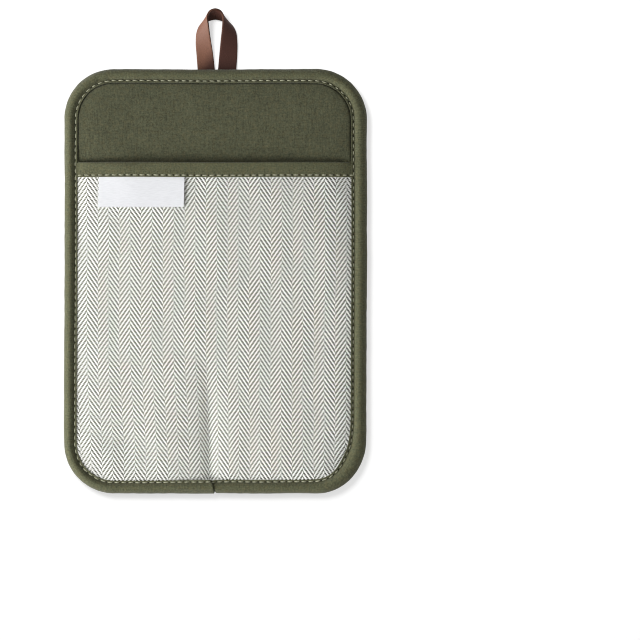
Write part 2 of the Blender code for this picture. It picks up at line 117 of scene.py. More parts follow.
# Pocket mouth
MOUTH_LIFT_X = -12 * MM       # where the mouth gapes most
LIFT_FOOT_Y = 2 * MM          # below this the pocket lies on the padding
LIFT_SQUARENESS = 3.4
PAD_BARE_FROM_Y = 70 * MM     # the padding rises here, above the mouth
PAD_BARE_TO_Y = 79 * MM
PANEL_SLOT = 1.8 * MM         # the panel is pressed in this far along the mouth
PANEL_SLOT_WIDTH = 1.9 * MM
PANEL_SLOT_FADE = 5 * MM      # and the slot dies out this close to the tape's lip
POCKET_TOP_Y = 70.4 * MM      # raw edge of the pocket inside its tape
POCKET_CALM_Y = (66 * MM, 40 * MM)  # the pocket's puckers begin between these
BAND_UNDER_LIP = 0.3 * MM     # the mouth's tape ends this far under the edge tape
BAND_TURN_IN = 6.0 * MM       # its hidden leg, which is short where the mouth is shut
BAND_TURN_IN_LEAST = 0.4 * MM
TURN_IN_LIFTS = (1.2 * MM, 2.2 * MM)
WRAP_LIFTS = (0.1 * MM, 0.75 * MM)  # it wraps the cloth where the mouth gapes by this
LAST_FOLD_TURNS = (10, -90)   # end of the fold, in degrees: shut, and wrapped
# Mesh rows of the band from its lower edge in mm, and the one that the stitches follow
BAND_ROWS = (0.0, 0.35, 0.75, 1.15, 1.6, 2.2, 3.0)
BAND_STITCH_ROW = 3
BAND_STITCH_Y = BAND_ROWS[BAND_STITCH_ROW] * MM
BAND_UPPER_ROWS = 5           # mesh rows from there to the fold
BAND_UPPER_START = 4.0 * MM
BAND_UPPER_END = 0.5 * MM
BAND_UNDER_ROWS = 6
BAND_FOLD_TURNS = (90, 75, 60, 45, 30, 15)  # and round the fold, in degrees
BAND_CALM = 2 * MM            # it lies evenly this near its lower edge
BAND_GROOVE = 0.2 * MM
BAND_GROOVE_WIDTH = 0.6 * MM
BAND_SWELL = 0.3 * MM         # the band's fill between its stitches and its fold
FOLD_PUFF = 0.8 * MM          # the fold is loose and round here
FOLD_PUFF_X = -55 * MM
FOLD_PUFF_WIDTH = 16 * MM
FOLD_PUFF_LENGTH = 2.6        # how much longer the round gets, for its height
LABEL_LEFT = -69.6 * MM
LABEL_RIGHT = -18.4 * MM
LABEL_BOTTOM = 44.3 * MM
LABEL_TUCK = 2.2 * MM         # the label's top edge lies this far under the tape
LABEL_SKEW = 0.6 * MM
BULGE_SIDE = 1.5 * MM         # the tape comes down beside the label and above it
BULGE_ABOVE = 2 * MM
LABEL_THICKNESS = 0.35 * MM
LABEL_CURL = 0.8 * MM         # its free right end stands up this far
LABEL_CURL_LEFT = 0.12 * MM
LABEL_BILLOW = 0.22 * MM
LABEL_ROWS = 24
LABEL_COLUMNS = 60

Fold = namedtuple("Fold", "x_low y_low x_high y_high half_width rise_low rise_high")
# Soft troughs and ridges of the quilted front in mm, each along a line from low to high
FOLDS = [
    Fold(x_low=-7.5, y_low=-119, x_high=-6.5, y_high=-30, half_width=9, rise_low=-0.55, rise_high=0.0),
    Fold(x_low=7.0, y_low=-119, x_high=5.0, y_high=-55, half_width=9, rise_low=0.35, rise_high=0.0),
    Fold(x_low=-54, y_low=-119, x_high=-52, y_high=-30, half_width=11, rise_low=-0.4, rise_high=0.0),
    Fold(x_low=-30, y_low=-112, x_high=-28, y_high=-35, half_width=11, rise_low=0.35, rise_high=0.0),
    Fold(x_low=22, y_low=-110, x_high=20, y_high=-40, half_width=7, rise_low=-0.3, rise_high=0.0),
    Fold(x_low=38, y_low=-115, x_high=37, y_high=-50, half_width=13, rise_low=0.4, rise_high=0.1),
    Fold(x_low=60, y_low=-100, x_high=58, y_high=20, half_width=14, rise_low=0.2, rise_high=-0.35),
]
FOLD_FADE = 6 * MM
FOLD_TAPER = 0.4

# The pinched crease that runs up from the tape's lap, a sharp valley
CREASE_TOP_Y = -30 * MM
CREASE_FULL_Y = -100 * MM
CREASE_DEPTH = 2.45 * MM
CREASE_LEFT = 3.6 * MM        # widths of its two flanks
CREASE_RIGHT = 7.0 * MM
CREASE_ROUNDING = 0.5 * MM
CREASE_FADE = 2.5 * MM        # it dies out this close to the tape's lip
# Its places along, from the tape upwards, and across
CREASE_YS = (-119 * MM, -100 * MM, -68 * MM, -45 * MM)
CREASE_XS = (-2.6 * MM, -3.2 * MM, -3.9 * MM, -4.9 * MM)
# Where it draws the weave in: from these heights down, by these ways to the left
CREASE_DRAWS_Y = (-32 * MM, -108 * MM)
CREASE_DRAWS_AT_X = (-90 * MM, -8 * MM, -1 * MM, 14 * MM, 40 * MM)
CREASE_DRAWS_BY = (2.7 * MM, 3.3 * MM, 1.3 * MM, 0.9 * MM, 0.0)

Layer = namedtuple("Layer", "height size seed")
# Layers of uneven relief, their heights and sizes in mm
PAD_HILLS = Layer(height=0.16, size=34, seed=11)
PANEL_PULLS = Layer(height=0.14, size=8, seed=21)
PANEL_LONG_PULLS = Layer(height=0.22, size=17, seed=22)
PANEL_GRAIN = Layer(height=0.05, size=9, seed=23)
POCKET_PULLS = Layer(height=0.10, size=9, seed=31)
POCKET_GRAIN = Layer(height=0.03, size=12, seed=32)
BAND_RIPPLES = Layer(height=0.07, size=11, seed=41)
LIP_RIPPLES = Layer(height=0.16, size=4.6, seed=51)
TAPE_RIPPLES = Layer(height=0.05, size=7, seed=52)
TAPE_HILLS = Layer(height=0.13, size=31, seed=53)
BACK_HILLS = Layer(height=0.03, size=40, seed=61)

Edge = namedtuple("Edge", "inset height")
# Outer face of the edge tape in mm, from its front lip round the roll to its back lip
TAPE_SECTION = [
    Edge(inset=7.50, height=8.12),
    Edge(inset=7.20, height=8.07),
    Edge(inset=6.90, height=7.90),
    Edge(inset=6.50, height=7.56),
    Edge(inset=6.12, height=7.20),
    Edge(inset=5.78, height=7.48),
    Edge(inset=5.25, height=8.18),
    Edge(inset=4.55, height=8.85),
    Edge(inset=3.65, height=9.22),
    Edge(inset=2.65, height=9.10),
    Edge(inset=1.65, height=8.50),
    Edge(inset=0.75, height=7.42),
    Edge(inset=0.15, height=6.05),
    Edge(inset=0.00, height=5.05),
    Edge(inset=0.12, height=4.15),
    Edge(inset=0.65, height=3.10),
    Edge(inset=1.60, height=2.25),
    Edge(inset=3.00, height=1.75),
    Edge(inset=4.60, height=1.62),
    Edge(inset=6.00, height=1.80),
    Edge(inset=6.80, height=2.12),
    Edge(inset=7.30, height=1.95),
    Edge(inset=7.80, height=1.85),
    Edge(inset=8.40, height=1.98),
]
FRONT_LIP = TAPE_SECTION[0].inset * MM
FRONT_STITCH_ROW = 3          # rows of the section where the stitches run
BACK_STITCH_ROW = 20
SECTION_STEPS = 2             # mesh columns from one row of the section to the next
STATIONS_PER_STITCH = 4
LAP_START_X = -12 * MM        # where the covered end begins
LAP_FOOT_X = -37.5 * MM       # the upper end climbs from here
LAP_TOP_X = -13.5 * MM
LAP_FRONT_X = -2.8 * MM       # the folded end that lies on top, at its front corner
LAP_OUTER_X = -0.6 * MM       # and at the outer edge and behind
LAP_RAISE = 1.05 * MM
LAP_RAISE_OUTSIDE = 0.12      # share of it round the roll
LAP_RAISE_INSETS = (1.5 * MM, 4 * MM)
LAST_RUN = 80 * MM            # this much of the tape counts as its upper end
FIRST_RUN = 30 * MM           # and this much as its covered end
TAPE_CORE = Edge(inset=4.2, height=5.0)  # the lap is raised away from here
TAPE_CORE_FLATNESS = 0.4      # and less to the sides than up and down
LAP_CALM = 16 * MM            # the tape lies evenly this near its ends
LAP_FOLD = 0.4 * MM           # the upper end drops this far at its fold
LAP_FOLD_WIDTH = 0.55 * MM
LAP_SINK = 0.9 * MM           # the covered end is pressed in this far
LAP_SINK_WIDTHS = (1.5 * MM, 0.2 * MM)  # and comes up again between these, past the fold
LIP_RIPPLE_WIDTH = 3.2 * MM   # small ripples at the lips die out over this
STITCH_TUG = 0.07 * MM        # each stitch pulls the tape in, and it rises between two
STITCH_TUG_WIDTH = 0.8 * MM

# Ribs of the silicone back: one period down from the deep groove, as shares of the
# pitch and of the rib's height
RIB_PROFILE = ((0.0, 0.0), (0.07, 0.28), (0.16, 0.82), (0.26, 1.0), (0.47, 1.0), (0.58, 0.82),
               (0.68, 0.36), (0.74, 0.40), (0.80, 0.68), (0.86, 0.70), (0.93, 0.38), (1.0, 0.0))
RIB_ROWS = 13                 # mesh rows along one pitch
FIRST_RIB_Y = 120.2 * MM
RIB_END_INSET = 8.6 * MM
RIB_END_LENGTH = 1.4 * MM
SILICONE_INSETS = (3.0, 5.5, 7.5, 8.6, 9.0, 9.5, 10.0, 11.0, 12.5, 14.5, 17.0, 20.0, 24.0, 30.0)
SILICONE_SPACING = 0.35 * MM  # least space between two columns near the rounded ends
SILICONE_STEP = 0.8 * MM      # mesh step of the plain bands
SILICONE_MIDDLE_COLUMNS = 20

Strap = namedtuple("Strap", "inner_x inner_y inner_z outer_x outer_y outer_z")
# The leather strap in mm, from its left sewn end, round the arch, to its right one: for
# each section the edge next to the opening and the other edge
STRAP_SECTIONS = [
    Strap(inner_x=0.3, inner_y=118.7, inner_z=1.0, outer_x=-10.2, outer_y=118.7, outer_z=1.0),
    Strap(inner_x=0.0, inner_y=123.5, inner_z=0.9, outer_x=-10.5, outer_y=123.5, outer_z=0.9),
    Strap(inner_x=-0.5, inner_y=128.5, inner_z=0.95, outer_x=-10.8, outer_y=128.5, outer_z=0.75),
    Strap(inner_x=-1.4, inner_y=136.5, inner_z=2.0, outer_x=-11.3, outer_y=136.0, outer_z=0.75),
    Strap(inner_x=-2.8, inner_y=145.3, inner_z=4.1, outer_x=-11.7, outer_y=143.3, outer_z=0.8),
    Strap(inner_x=-3.9, inner_y=153.3, inner_z=6.4, outer_x=-11.0, outer_y=149.6, outer_z=0.9),
    Strap(inner_x=-4.4, inner_y=158.4, inner_z=7.8, outer_x=-8.6, outer_y=154.1, outer_z=1.0),
    Strap(inner_x=-3.2, inner_y=161.6, inner_z=8.2, outer_x=-5.0, outer_y=156.3, outer_z=1.0),
    Strap(inner_x=-0.9, inner_y=162.9, inner_z=8.3, outer_x=-1.2, outer_y=157.4, outer_z=1.1),
    Strap(inner_x=1.1, inner_y=162.9, inner_z=8.3, outer_x=1.4, outer_y=157.4, outer_z=1.1),
    Strap(inner_x=3.4, inner_y=161.6, inner_z=8.2, outer_x=5.2, outer_y=156.3, outer_z=1.0),
    Strap(inner_x=4.6, inner_y=158.4, inner_z=7.8, outer_x=9.2, outer_y=154.2, outer_z=1.0),
    Strap(inner_x=4.4, inner_y=153.3, inner_z=6.4, outer_x=12.2, outer_y=149.6, outer_z=0.9),
    Strap(inner_x=3.4, inner_y=145.3, inner_z=4.1, outer_x=13.1, outer_y=143.3, outer_z=0.8),
    Strap(inner_x=2.4, inner_y=136.5, inner_z=2.0, outer_x=13.1, outer_y=136.0, outer_z=0.75),
    Strap(inner_x=1.6, inner_y=128.5, inner_z=0.95, outer_x=12.6, outer_y=128.5, outer_z=0.75),
    Strap(inner_x=1.2, inner_y=123.5, inner_z=0.9, outer_x=12.3, outer_y=123.5, outer_z=0.9),
    Strap(inner_x=0.9, inner_y=118.7, inner_z=1.0, outer_x=12.0, outer_y=118.7, outer_z=1.0),
]
STRAP_STEPS = 6               # mesh rows from one section of the strap to the next
STRAP_COLUMNS = 10
STRAP_WEAR = 0.22 * MM         # its edges are worn round by this
STRAP_WEAR_FROM = 50          # where they turn by more than this, in degrees

STITCH_LIFT = 0.22 * MM       # the stitches' middles above the cloth
STITCH_LIFT_RIGHT = -0.1 * MM  # and down the right side, where they are pulled deeper
STITCH_TURN_X = (60 * MM, 82 * MM)
STITCH_ASKEW = (0.07, 0.07, 0.03)  # how far a stitch may turn from its path
STITCH_SMALLEST = (0.86, 0.9, 0.88)
STITCH_LARGEST = (1.08, 1.1, 1.06)
BAND_PATH_POINTS = 200
LOOP_STITCH_Y = 120.5 * MM
LOOP_STITCH_Z = 0.36 * MM
LOOP_STITCH_LENGTH = 2.0 * MM
LOOP_STITCHES_LEFT = (-8.6 * MM, -0.9 * MM)
LOOP_STITCHES_RIGHT = (1.9 * MM, 10.0 * MM)
HOLE_SHADE = 0.22             # painted shade: share of the tape's colour left in a needle hole
HOLE_RADII = (0.25 * MM, 0.72 * MM)

# Herringbone weave: threads in one band up and down, and where a peak runs
BAND_THREADS = 11
PEAK_X = 0.75 * MM

# Stage, in metres
TABLE_REACH = 12.0
TABLE_BELOW = 0.05 * MM
KEY_PLACE = (-1.0, -0.3, 0.62)
KEY_SIZE = (1.3, 0.5)
RIM_PLACE = (-1.1, -0.15, 0.2)
RIM_SIZE = (0.9, 0.15)
TABLE_LIGHT_PLACE = (-0.55, 0.62, 1.25)
TABLE_LIGHT_SIZE = (0.5, 0.5)
CLIP_START = 0.05
CLIP_END = 50.0
PIXEL_FILTER = 1.05


def screen(red, green, blue):
    """A colour as seen on screen, each channel from 0 to 255, as linear values."""
    shares = [channel / 255.0 for channel in (red, green, blue)]
    return tuple(share / 12.92 if share <= 0.04045 else ((share + 0.055) / 1.055) ** 2.4
                 for share in shares)


# ---------------------------------------------------------------- settings

def length(name, description, default):
    return bpy.props.FloatProperty(
        name=name, description=description, default=default, min=0.0, unit="LENGTH", precision=5)


def colour(name, description, default):
    return bpy.props.FloatVectorProperty(
        name=name, description=description, default=default, subtype="COLOR", min=0.0, max=1.0)


class PotHolderSizes(bpy.types.PropertyGroup):
    width: length("Width", "Over the edge tape", 181 * MM)
    height: length("Height", "Over the edge tape, without the loop", 254 * MM)
    corner_radius: length("Corner Radius", "Radius of the outline's corners", 30 * MM)
    tape_thickness: length("Tape Thickness", "Thickness of the edge and mouth tapes", 0.55 * MM)
    cloth_thickness: length("Cloth Thickness", "Thickness of the pocket's cloth", 0.7 * MM)
    mouth_y: length("Mouth", "Height of the pocket's mouth above the middle", 71.2 * MM)
    mouth_lift: length("Mouth Lift", "How far the mouth gapes at its highest place", 3.7 * MM)
    band_width: length("Band Width", "Front leg of the mouth's tape", 9.0 * MM)
    rib_pitch: length("Rib Pitch", "From one silicone rib to the next", 6.93 * MM)
    rib_height: length("Rib Height", "Of a silicone rib over its sheet", 1.2 * MM)
    rib_count: bpy.props.IntProperty(
        name="Rib Count", description="Ribs on the silicone back", default=34, min=1)
    strap_thickness: length("Strap Thickness", "Thickness of the leather loop", 1.3 * MM)


class PotHolderStitches(bpy.types.PropertyGroup):
    pitch: length("Pitch", "From one stitch to the next", 4.2 * MM)
    run: length("Length", "Part of a stitch that shows", 3.0 * MM)
    width: length("Width", "Width of the thread", 0.66 * MM)
    rise: length("Rise", "Height of a stitch over its holes", 0.35 * MM)
    loop_pitch: length("Loop Pitch", "Of the stitches that hold the loop", 3.0 * MM)
    seed: bpy.props.IntProperty(name="Seed", description="Picks the stitches' small turns", default=4)


class PotHolderColours(bpy.types.PropertyGroup):
    panel: colour("Panel", "Olive cotton of the front", screen(82, 84, 63))
    tape: colour("Tape", "Olive cotton tape", screen(91, 93, 69))
    thread: colour("Thread", "Stitches", screen(174, 174, 148))
    white_yarn: colour("White Yarn", "Light yarn of the pocket", screen(253, 253, 248))
    grey_yarn: colour("Grey Yarn", "Dark yarn of the pocket", screen(78, 79, 67))
    silicone: colour("Silicone", "Ribbed back", screen(70, 69, 49))
    leather: colour("Leather", "Smooth side of the strap", screen(124, 84, 66))
    flesh: colour("Flesh", "Napped side of the strap", screen(62, 28, 14))
    satin: colour("Satin", "Blank label", screen(233, 234, 237))


class PotHolderStage(bpy.types.PropertyGroup):
    frame_width: length("Frame Width", "Width of the camera's view on the table", 384 * MM)
    frame_x: bpy.props.FloatProperty(
        name="Frame X", description="Middle of the view, across", default=62.5 * MM, unit="LENGTH")
    frame_y: bpy.props.FloatProperty(
        name="Frame Y", description="Middle of the view, along", default=-23.2 * MM, unit="LENGTH")
    camera_height: length("Camera Height", "Above the table", 2.0)
    key_power: bpy.props.FloatProperty(
        name="Key Power", description="Power of the soft light on the left, in watts", default=16.4)
    rim_power: bpy.props.FloatProperty(
        name="Rim Power", description="Power of the low light on the left, in watts", default=7.0)
    table_power: bpy.props.FloatProperty(
        name="Table Power", description="Power of the table's own light, in watts", default=14.0)
    fill: bpy.props.FloatProperty(
        name="Fill", description="Strength of the light from all round", default=0.42)


def of_scene(context):
    """The four groups of settings."""
    scene = context.scene
    return (scene.pot_holder_sizes, scene.pot_holder_stitches,
            scene.pot_holder_colours, scene.pot_holder_stage)


# ---------------------------------------------------------------- shape of the pad

def ease(value, start, end):
    """0 before start and 1 after end, with a soft rise between them."""
    share = np.clip((value - start) / (end - start), 0.0, 1.0)
    return share * share * (3.0 - 2.0 * share)


def mix(start, end, share):
    return start + (end - start) * share


def waves(x, y, layer, count=7):
    """A layer of smooth uneven relief, as a sum of waves of about one size."""
    chance = np.random.default_rng(layer.seed)
    total = np.zeros(np.broadcast(x, y).shape)
    for _ in range(count):
        heading = chance.uniform(0.0, 2.0 * math.pi)
        step = layer.size * MM * chance.uniform(0.7, 1.5)
        start = chance.uniform(0.0, 2.0 * math.pi)
        along = x * math.cos(heading) + y * math.sin(heading)
        total += np.sin(2.0 * math.pi * along / step + start)
    return layer.height * MM * total / math.sqrt(2.0 * count)


class PadShape:
    """Outline and levels of the pot holder, worked out from its sizes."""

    def __init__(self, sizes):
        self.sizes = sizes
        self.half_width = sizes.width / 2
        self.half_height = sizes.height / 2
        self.radius = sizes.corner_radius
        self.corner_x = self.half_width - self.radius
        self.corner_y = self.half_height - self.radius

    def inset(self, x, y):
        """How far a point lies inside the outline."""
        past_x = np.abs(x) - self.corner_x
        past_y = np.abs(y) - self.corner_y
        round_part = np.hypot(np.maximum(past_x, 0.0), np.maximum(past_y, 0.0))
        return self.radius - round_part - np.minimum(np.maximum(past_x, past_y), 0.0)

    def plan(self, across, along, edge):
        """Bend a rectangular layout into the rounded outline, drawn in by edge."""
        reach = self.radius - edge
        past_x = np.maximum(np.abs(across) - self.corner_x, 0.0) / reach
        past_y = np.maximum(np.abs(along) - self.corner_y, 0.0) / reach
        ring = np.maximum(past_x, past_y)
        shorter = np.minimum(past_x, past_y)
        eighth = math.pi / 4 * shorter / np.maximum(ring, 1e-9)
        turn = np.where(past_x >= past_y, eighth, math.pi / 2 - eighth)
        in_corner = shorter > 0.0
        x = np.sign(across) * (self.corner_x + reach * ring * np.cos(turn))
        y = np.sign(along) * (self.corner_y + reach * ring * np.sin(turn))
        return np.where(in_corner, x, across), np.where(in_corner, y, along)

    def lower_corner(self, x, y):
        """1 at the tape of the lower right corner, dying out round it."""
        away = np.hypot(x - CORNER_X, y - CORNER_Y) / CORNER_WIDTH
        return np.exp(-away * away)

    def reach(self, x, y):
        """How far the tape's front lip lies inside the outline."""
        left = mix(REACH_LEFT, REACH_TOP, ease(y, *TURN_TO_TOP_Y))
        below = ease(x, *TURN_AT_LAP_X) * ease(y, *TURN_TO_BOTTOM_Y)
        right = ease(x, *TURN_TO_RIGHT_X)
        even = mix(mix(left, REACH_BOTTOM_RIGHT, below), REACH_RIGHT, right)
        return even + CORNER_REACH * self.lower_corner(x, y)

    def past_lip(self, x, y):
        """How far a point lies inwards from the tape's front lip."""
        return self.inset(x, y) - self.reach(x, y)

    def sewn(self, x, y):
        """The slight wander of hand-guided sewing."""
        dip = TOP_DIP * np.exp(-(x / TOP_DIP_WIDTH) ** 2) * ease(y, 0.0, self.corner_y)
        wave = SIDE_WAVE * np.sin(y / SIDE_WAVE_LENGTH + SIDE_WAVE_PHASE)
        drawn = self.lower_corner(x, y)
        return x + wave - CORNER_DRAWN_X * drawn, y - dip + CORNER_DRAWN_Y * drawn

    def folds(self, x, y):
        """Height of the soft folds of the front."""
        total = np.zeros(np.broadcast(x, y).shape)
        for fold in FOLDS:
            along = (y / MM - fold.y_low) / (fold.y_high - fold.y_low)
            across = (x / MM - mix(fold.x_low, fold.x_high, along)) / fold.half_width
            rise = mix(fold.rise_low, fold.rise_high, ease(along, 0.0, 1.0)) * MM
            total += rise * np.exp(-across * across) * ease(along, 1.0, FOLD_TAPER)
        return total * ease(self.past_lip(x, y), 0.0, FOLD_FADE)

    def crease(self, x, y):
        """The pinched crease, as a fall below the cloth round it."""
        off = x - np.interp(y, CREASE_YS, CREASE_XS)
        width = np.where(off < 0.0, CREASE_LEFT, CREASE_RIGHT)
        reach = (np.hypot(off, CREASE_ROUNDING) - CREASE_ROUNDING) / width
        depth = CREASE_DEPTH * ease(y, CREASE_TOP_Y, CREASE_FULL_Y)
        fade = ease(self.past_lip(x, y), -CREASE_FADE, CREASE_FADE)
        return -depth * np.exp(-reach) * fade

    def puckers(self, x, y, layer):
        """Small pulls of the cloth where it is sewn in, dying out inwards."""
        return np.exp(-np.maximum(self.past_lip(x, y), 0.0) / PUCKER_WIDTH) * waves(x, y, layer)

    def bare(self, y):
        """0 where the pocket covers the padding, 1 above the mouth."""
        return ease(y, PAD_BARE_FROM_Y, PAD_BARE_TO_Y)

    def pad_top(self, x, y):
        """Upper side of the padding, with its swell, seam, folds and crease."""
        bare = self.bare(y)
        past = self.past_lip(x, y)
        swell = np.clip(past / FRONT_SWELL, 0.0, 1.0)
        seam = mix(PAD_SEAM_POCKETED, PAD_SEAM_BARE, bare)
        field = mix(PAD_FIELD_POCKETED, PAD_FIELD_BARE, bare)
        level = mix(seam, field, 1.0 - (1.0 - swell) ** 2)
        beside = (past - SEAM_DIP_INSET) / SEAM_DIP_WIDTH
        dip = mix(SEAM_DIP_POCKETED, SEAM_DIP, bare) * np.exp(-beside * beside)
        pull = mix(SEAM_PULL_POCKETED, SEAM_PULL, bare)
        pull = pull * np.exp(-np.maximum(past, 0.0) / SEAM_PULL_WIDTH)
        press = SEAM_PRESS * ease(past, -SEAM_PRESS_FROM, -SEAM_PRESS_TO)
        uneven = swell * waves(x, y, PAD_HILLS)
        return level - dip - pull - press + uneven + self.folds(x, y) + self.crease(x, y)

    def back_swell(self, x, y):
        return ease(self.inset(x, y), BACK_SEAM_INSET, BACK_SEAM_INSET + BACK_SWELL)

    def pad_underside(self, x, y):
        return mix(PAD_SEAM_UNDER, PAD_FIELD_UNDER, self.back_swell(x, y))

    def silicone_underside(self, x, y):
        """Underside of the silicone sheet, without its ribs."""
        return mix(SILICONE_SEAM, self.sizes.rib_height, self.back_swell(x, y))

    def mouth_lift(self, x, y):
        """How far the pocket stands off the padding towards its mouth."""
        right = x > MOUTH_LIFT_X
        reach = self.half_width - np.where(right, REACH_RIGHT, REACH_LEFT)
        reach = reach - np.where(right, MOUTH_LIFT_X, -MOUTH_LIFT_X)
        across = np.minimum(np.abs(x - MOUTH_LIFT_X) / reach, 1.0)
        rise = ease(y, LIFT_FOOT_Y, self.sizes.mouth_y)
        return self.sizes.mouth_lift * (1.0 - across ** LIFT_SQUARENESS) * rise

    def pocket_underside(self, x, y):
        return self.pad_top(x, y) + AIR + self.mouth_lift(x, y)

    def pocket_top(self, x, y):
        return self.pocket_underside(x, y) + self.sizes.cloth_thickness


# ---------------------------------------------------------------- mesh helpers

def steps_between(start, end, step):
    """Evenly spaced values from start to end, about a step apart."""
    return np.linspace(start, end, max(2, int(round(abs(end - start) / step)) + 1))


def smooth_rows(rows, steps):
    """A smooth curve through every row of a table, with some steps between two rows."""
    points = np.array(rows, float)
    padded = np.vstack([2 * points[0] - points[1], points, 2 * points[-1] - points[-2]])
    made = []
    for before, start, end, after in zip(padded, padded[1:], padded[2:], padded[3:]):
        for share in np.arange(steps) / steps:
            made.append(0.5 * (2 * start + (end - before) * share
                               + (2 * before - 5 * start + 4 * end - after) * share ** 2
                               + (3 * start - before - 3 * end + after) * share ** 3))
    made.append(points[-1])
    return np.array(made)


def grid_faces(rows, columns):
    index = np.arange(rows * columns).reshape(rows, columns)
    corners = (index[:-1, :-1], index[:-1, 1:], index[1:, 1:], index[1:, :-1])
    return np.stack(corners, axis=-1).reshape(-1, 4)


def add_object(name, points, faces=(), edges=(), cloth_map=None):
    """A mesh object, with a map of its cloth in metres if one is given."""
    mesh = bpy.data.meshes.new(name)
    mesh.from_pydata(np.asarray(points).tolist(), list(edges), np.asarray(faces).tolist())
    if cloth_map is not None:
        corners = np.zeros(len(mesh.loops), int)
        mesh.loops.foreach_get("vertex_index", corners)
        layer = mesh.uv_layers.new(name="cloth")
        layer.data.foreach_set("uv", np.asarray(cloth_map)[corners].ravel())
    made = bpy.data.objects.new(name, mesh)
    bpy.context.scene.collection.objects.link(made)
    return made


def add_sheet(name, points):
    """An open sheet from an array of rows and columns of points."""
    return add_object(name, points.reshape(-1, 3), grid_faces(*points.shape[:2]))


def add_slab(name, face, back, cloth_map=None):
    """A closed form from two arrays of rows and columns of points, its face and its back."""
    rows, columns = face.shape[:2]
    below = rows * columns
    faces = grid_faces(rows, columns)
    index = np.arange(below).reshape(rows, columns)
    rim = np.concatenate([index[0, :-1], index[:-1, -1], index[-1, :0:-1], index[:0:-1, 0]])
    follow = np.roll(rim, -1)
    walls = np.stack([rim + below, follow + below, follow, rim], axis=-1)
    faces = np.vstack([faces, faces[:, ::-1] + below, walls])
    points = np.vstack([face.reshape(-1, 3), back.reshape(-1, 3)])
    if cloth_map is not None:
        cloth_map = np.vstack([cloth_map.reshape(-1, 2)] * 2)
    return add_object(name, points, faces, cloth_map=cloth_map)


def backed(face, thickness):
    """The back of a cloth of one thickness, behind the points of its face."""
    across = np.gradient(face, axis=1)
    along = np.gradient(face, axis=0)
    outward = np.cross(across, along)
    return face - outward / np.linalg.norm(outward, axis=-1, keepdims=True) * thickness


def closer_near_ends(half, edge, step):
    """Places from -half to half, a step apart, and closer where the tape's lip lies."""
    near = np.concatenate([np.array(LIP_SPACING) * MM, [FINE_WITHIN]])
    near = near[near >= edge]
    middle = steps_between(-half + FINE_WITHIN, half - FINE_WITHIN, step)
    return np.concatenate([-half + near[:-1], middle, half - near[-2::-1]])


def settle(made):
    """Keep what the object's modifiers make of its mesh, and drop them."""
    bpy.context.view_layer.update()
    graph = bpy.context.evaluated_depsgraph_get()
    mesh = bpy.data.meshes.new_from_object(made.evaluated_get(graph))
    before = made.data
    made.modifiers.clear()
    made.data = mesh
    bpy.data.meshes.remove(before)


def finish_piece(made, materials, slot, *nodes):
    """Smooth a settled piece, give it its finish and set it on the body."""
    if not made.data.materials:
        for material in materials:
            made.data.materials.append(material)
    made.data.shade_smooth()
    made.data.set_sharp_from_angle(angle=math.radians(50))
    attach(made, "root")
    if nodes:
        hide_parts(*nodes)


# ---------------------------------------------------------------- node trees

class Reading:
    """One socket of a node tree, which takes part in sums as a number would."""

    def __init__(self, graph, socket):
        self.graph = graph
        self.socket = socket

    def __add__(self, other):
        return self.graph.maths("ADD", self, other)

    def __radd__(self, other):
        return self.graph.maths("ADD", other, self)

    def __sub__(self, other):
        return self.graph.maths("SUBTRACT", self, other)

    def __rsub__(self, other):
        return self.graph.maths("SUBTRACT", other, self)

    def __mul__(self, other):
        return self.graph.maths("MULTIPLY", self, other)

    def __rmul__(self, other):
        return self.graph.maths("MULTIPLY", other, self)

    def __truediv__(self, other):
        return self.graph.maths("DIVIDE", self, other)

    def __mod__(self, other):
        return self.graph.maths("FLOORED_MODULO", self, other)

    def __lt__(self, other):
        return self.graph.maths("LESS_THAN", self, other)

    def __gt__(self, other):
        return self.graph.maths("GREATER_THAN", self, other)


class Graph:
    """A node tree under construction."""

    def __init__(self, tree):
        self.tree = tree

    def node(self, kind, settings=None, values=None):
        """Add a node: first its settings, then the values or links of its sockets."""
        made = self.tree.nodes.new(kind)
        for name, value in (settings or {}).items():
            setattr(made, name, value)
        for name, value in (values or {}).items():
            if isinstance(value, Reading):
                self.tree.links.new(value.socket, made.inputs[name])
            else:
                made.inputs[name].default_value = value
        return made

    def read(self, kind, settings=None, values=None, output=0):
        """Add a node and read one of its outputs."""
        return Reading(self, self.node(kind, settings, values).outputs[output])

    def maths(self, operation, *values):
        return self.read("ShaderNodeMath", {"operation": operation}, dict(enumerate(values)))

    def between(self, value, low, high):
        """Ease from 0 at low to 1 at high."""
        values = {"Value": value, "From Min": low, "From Max": high}
        return self.read("ShaderNodeMapRange", {"interpolation_type": "SMOOTHSTEP"}, values)


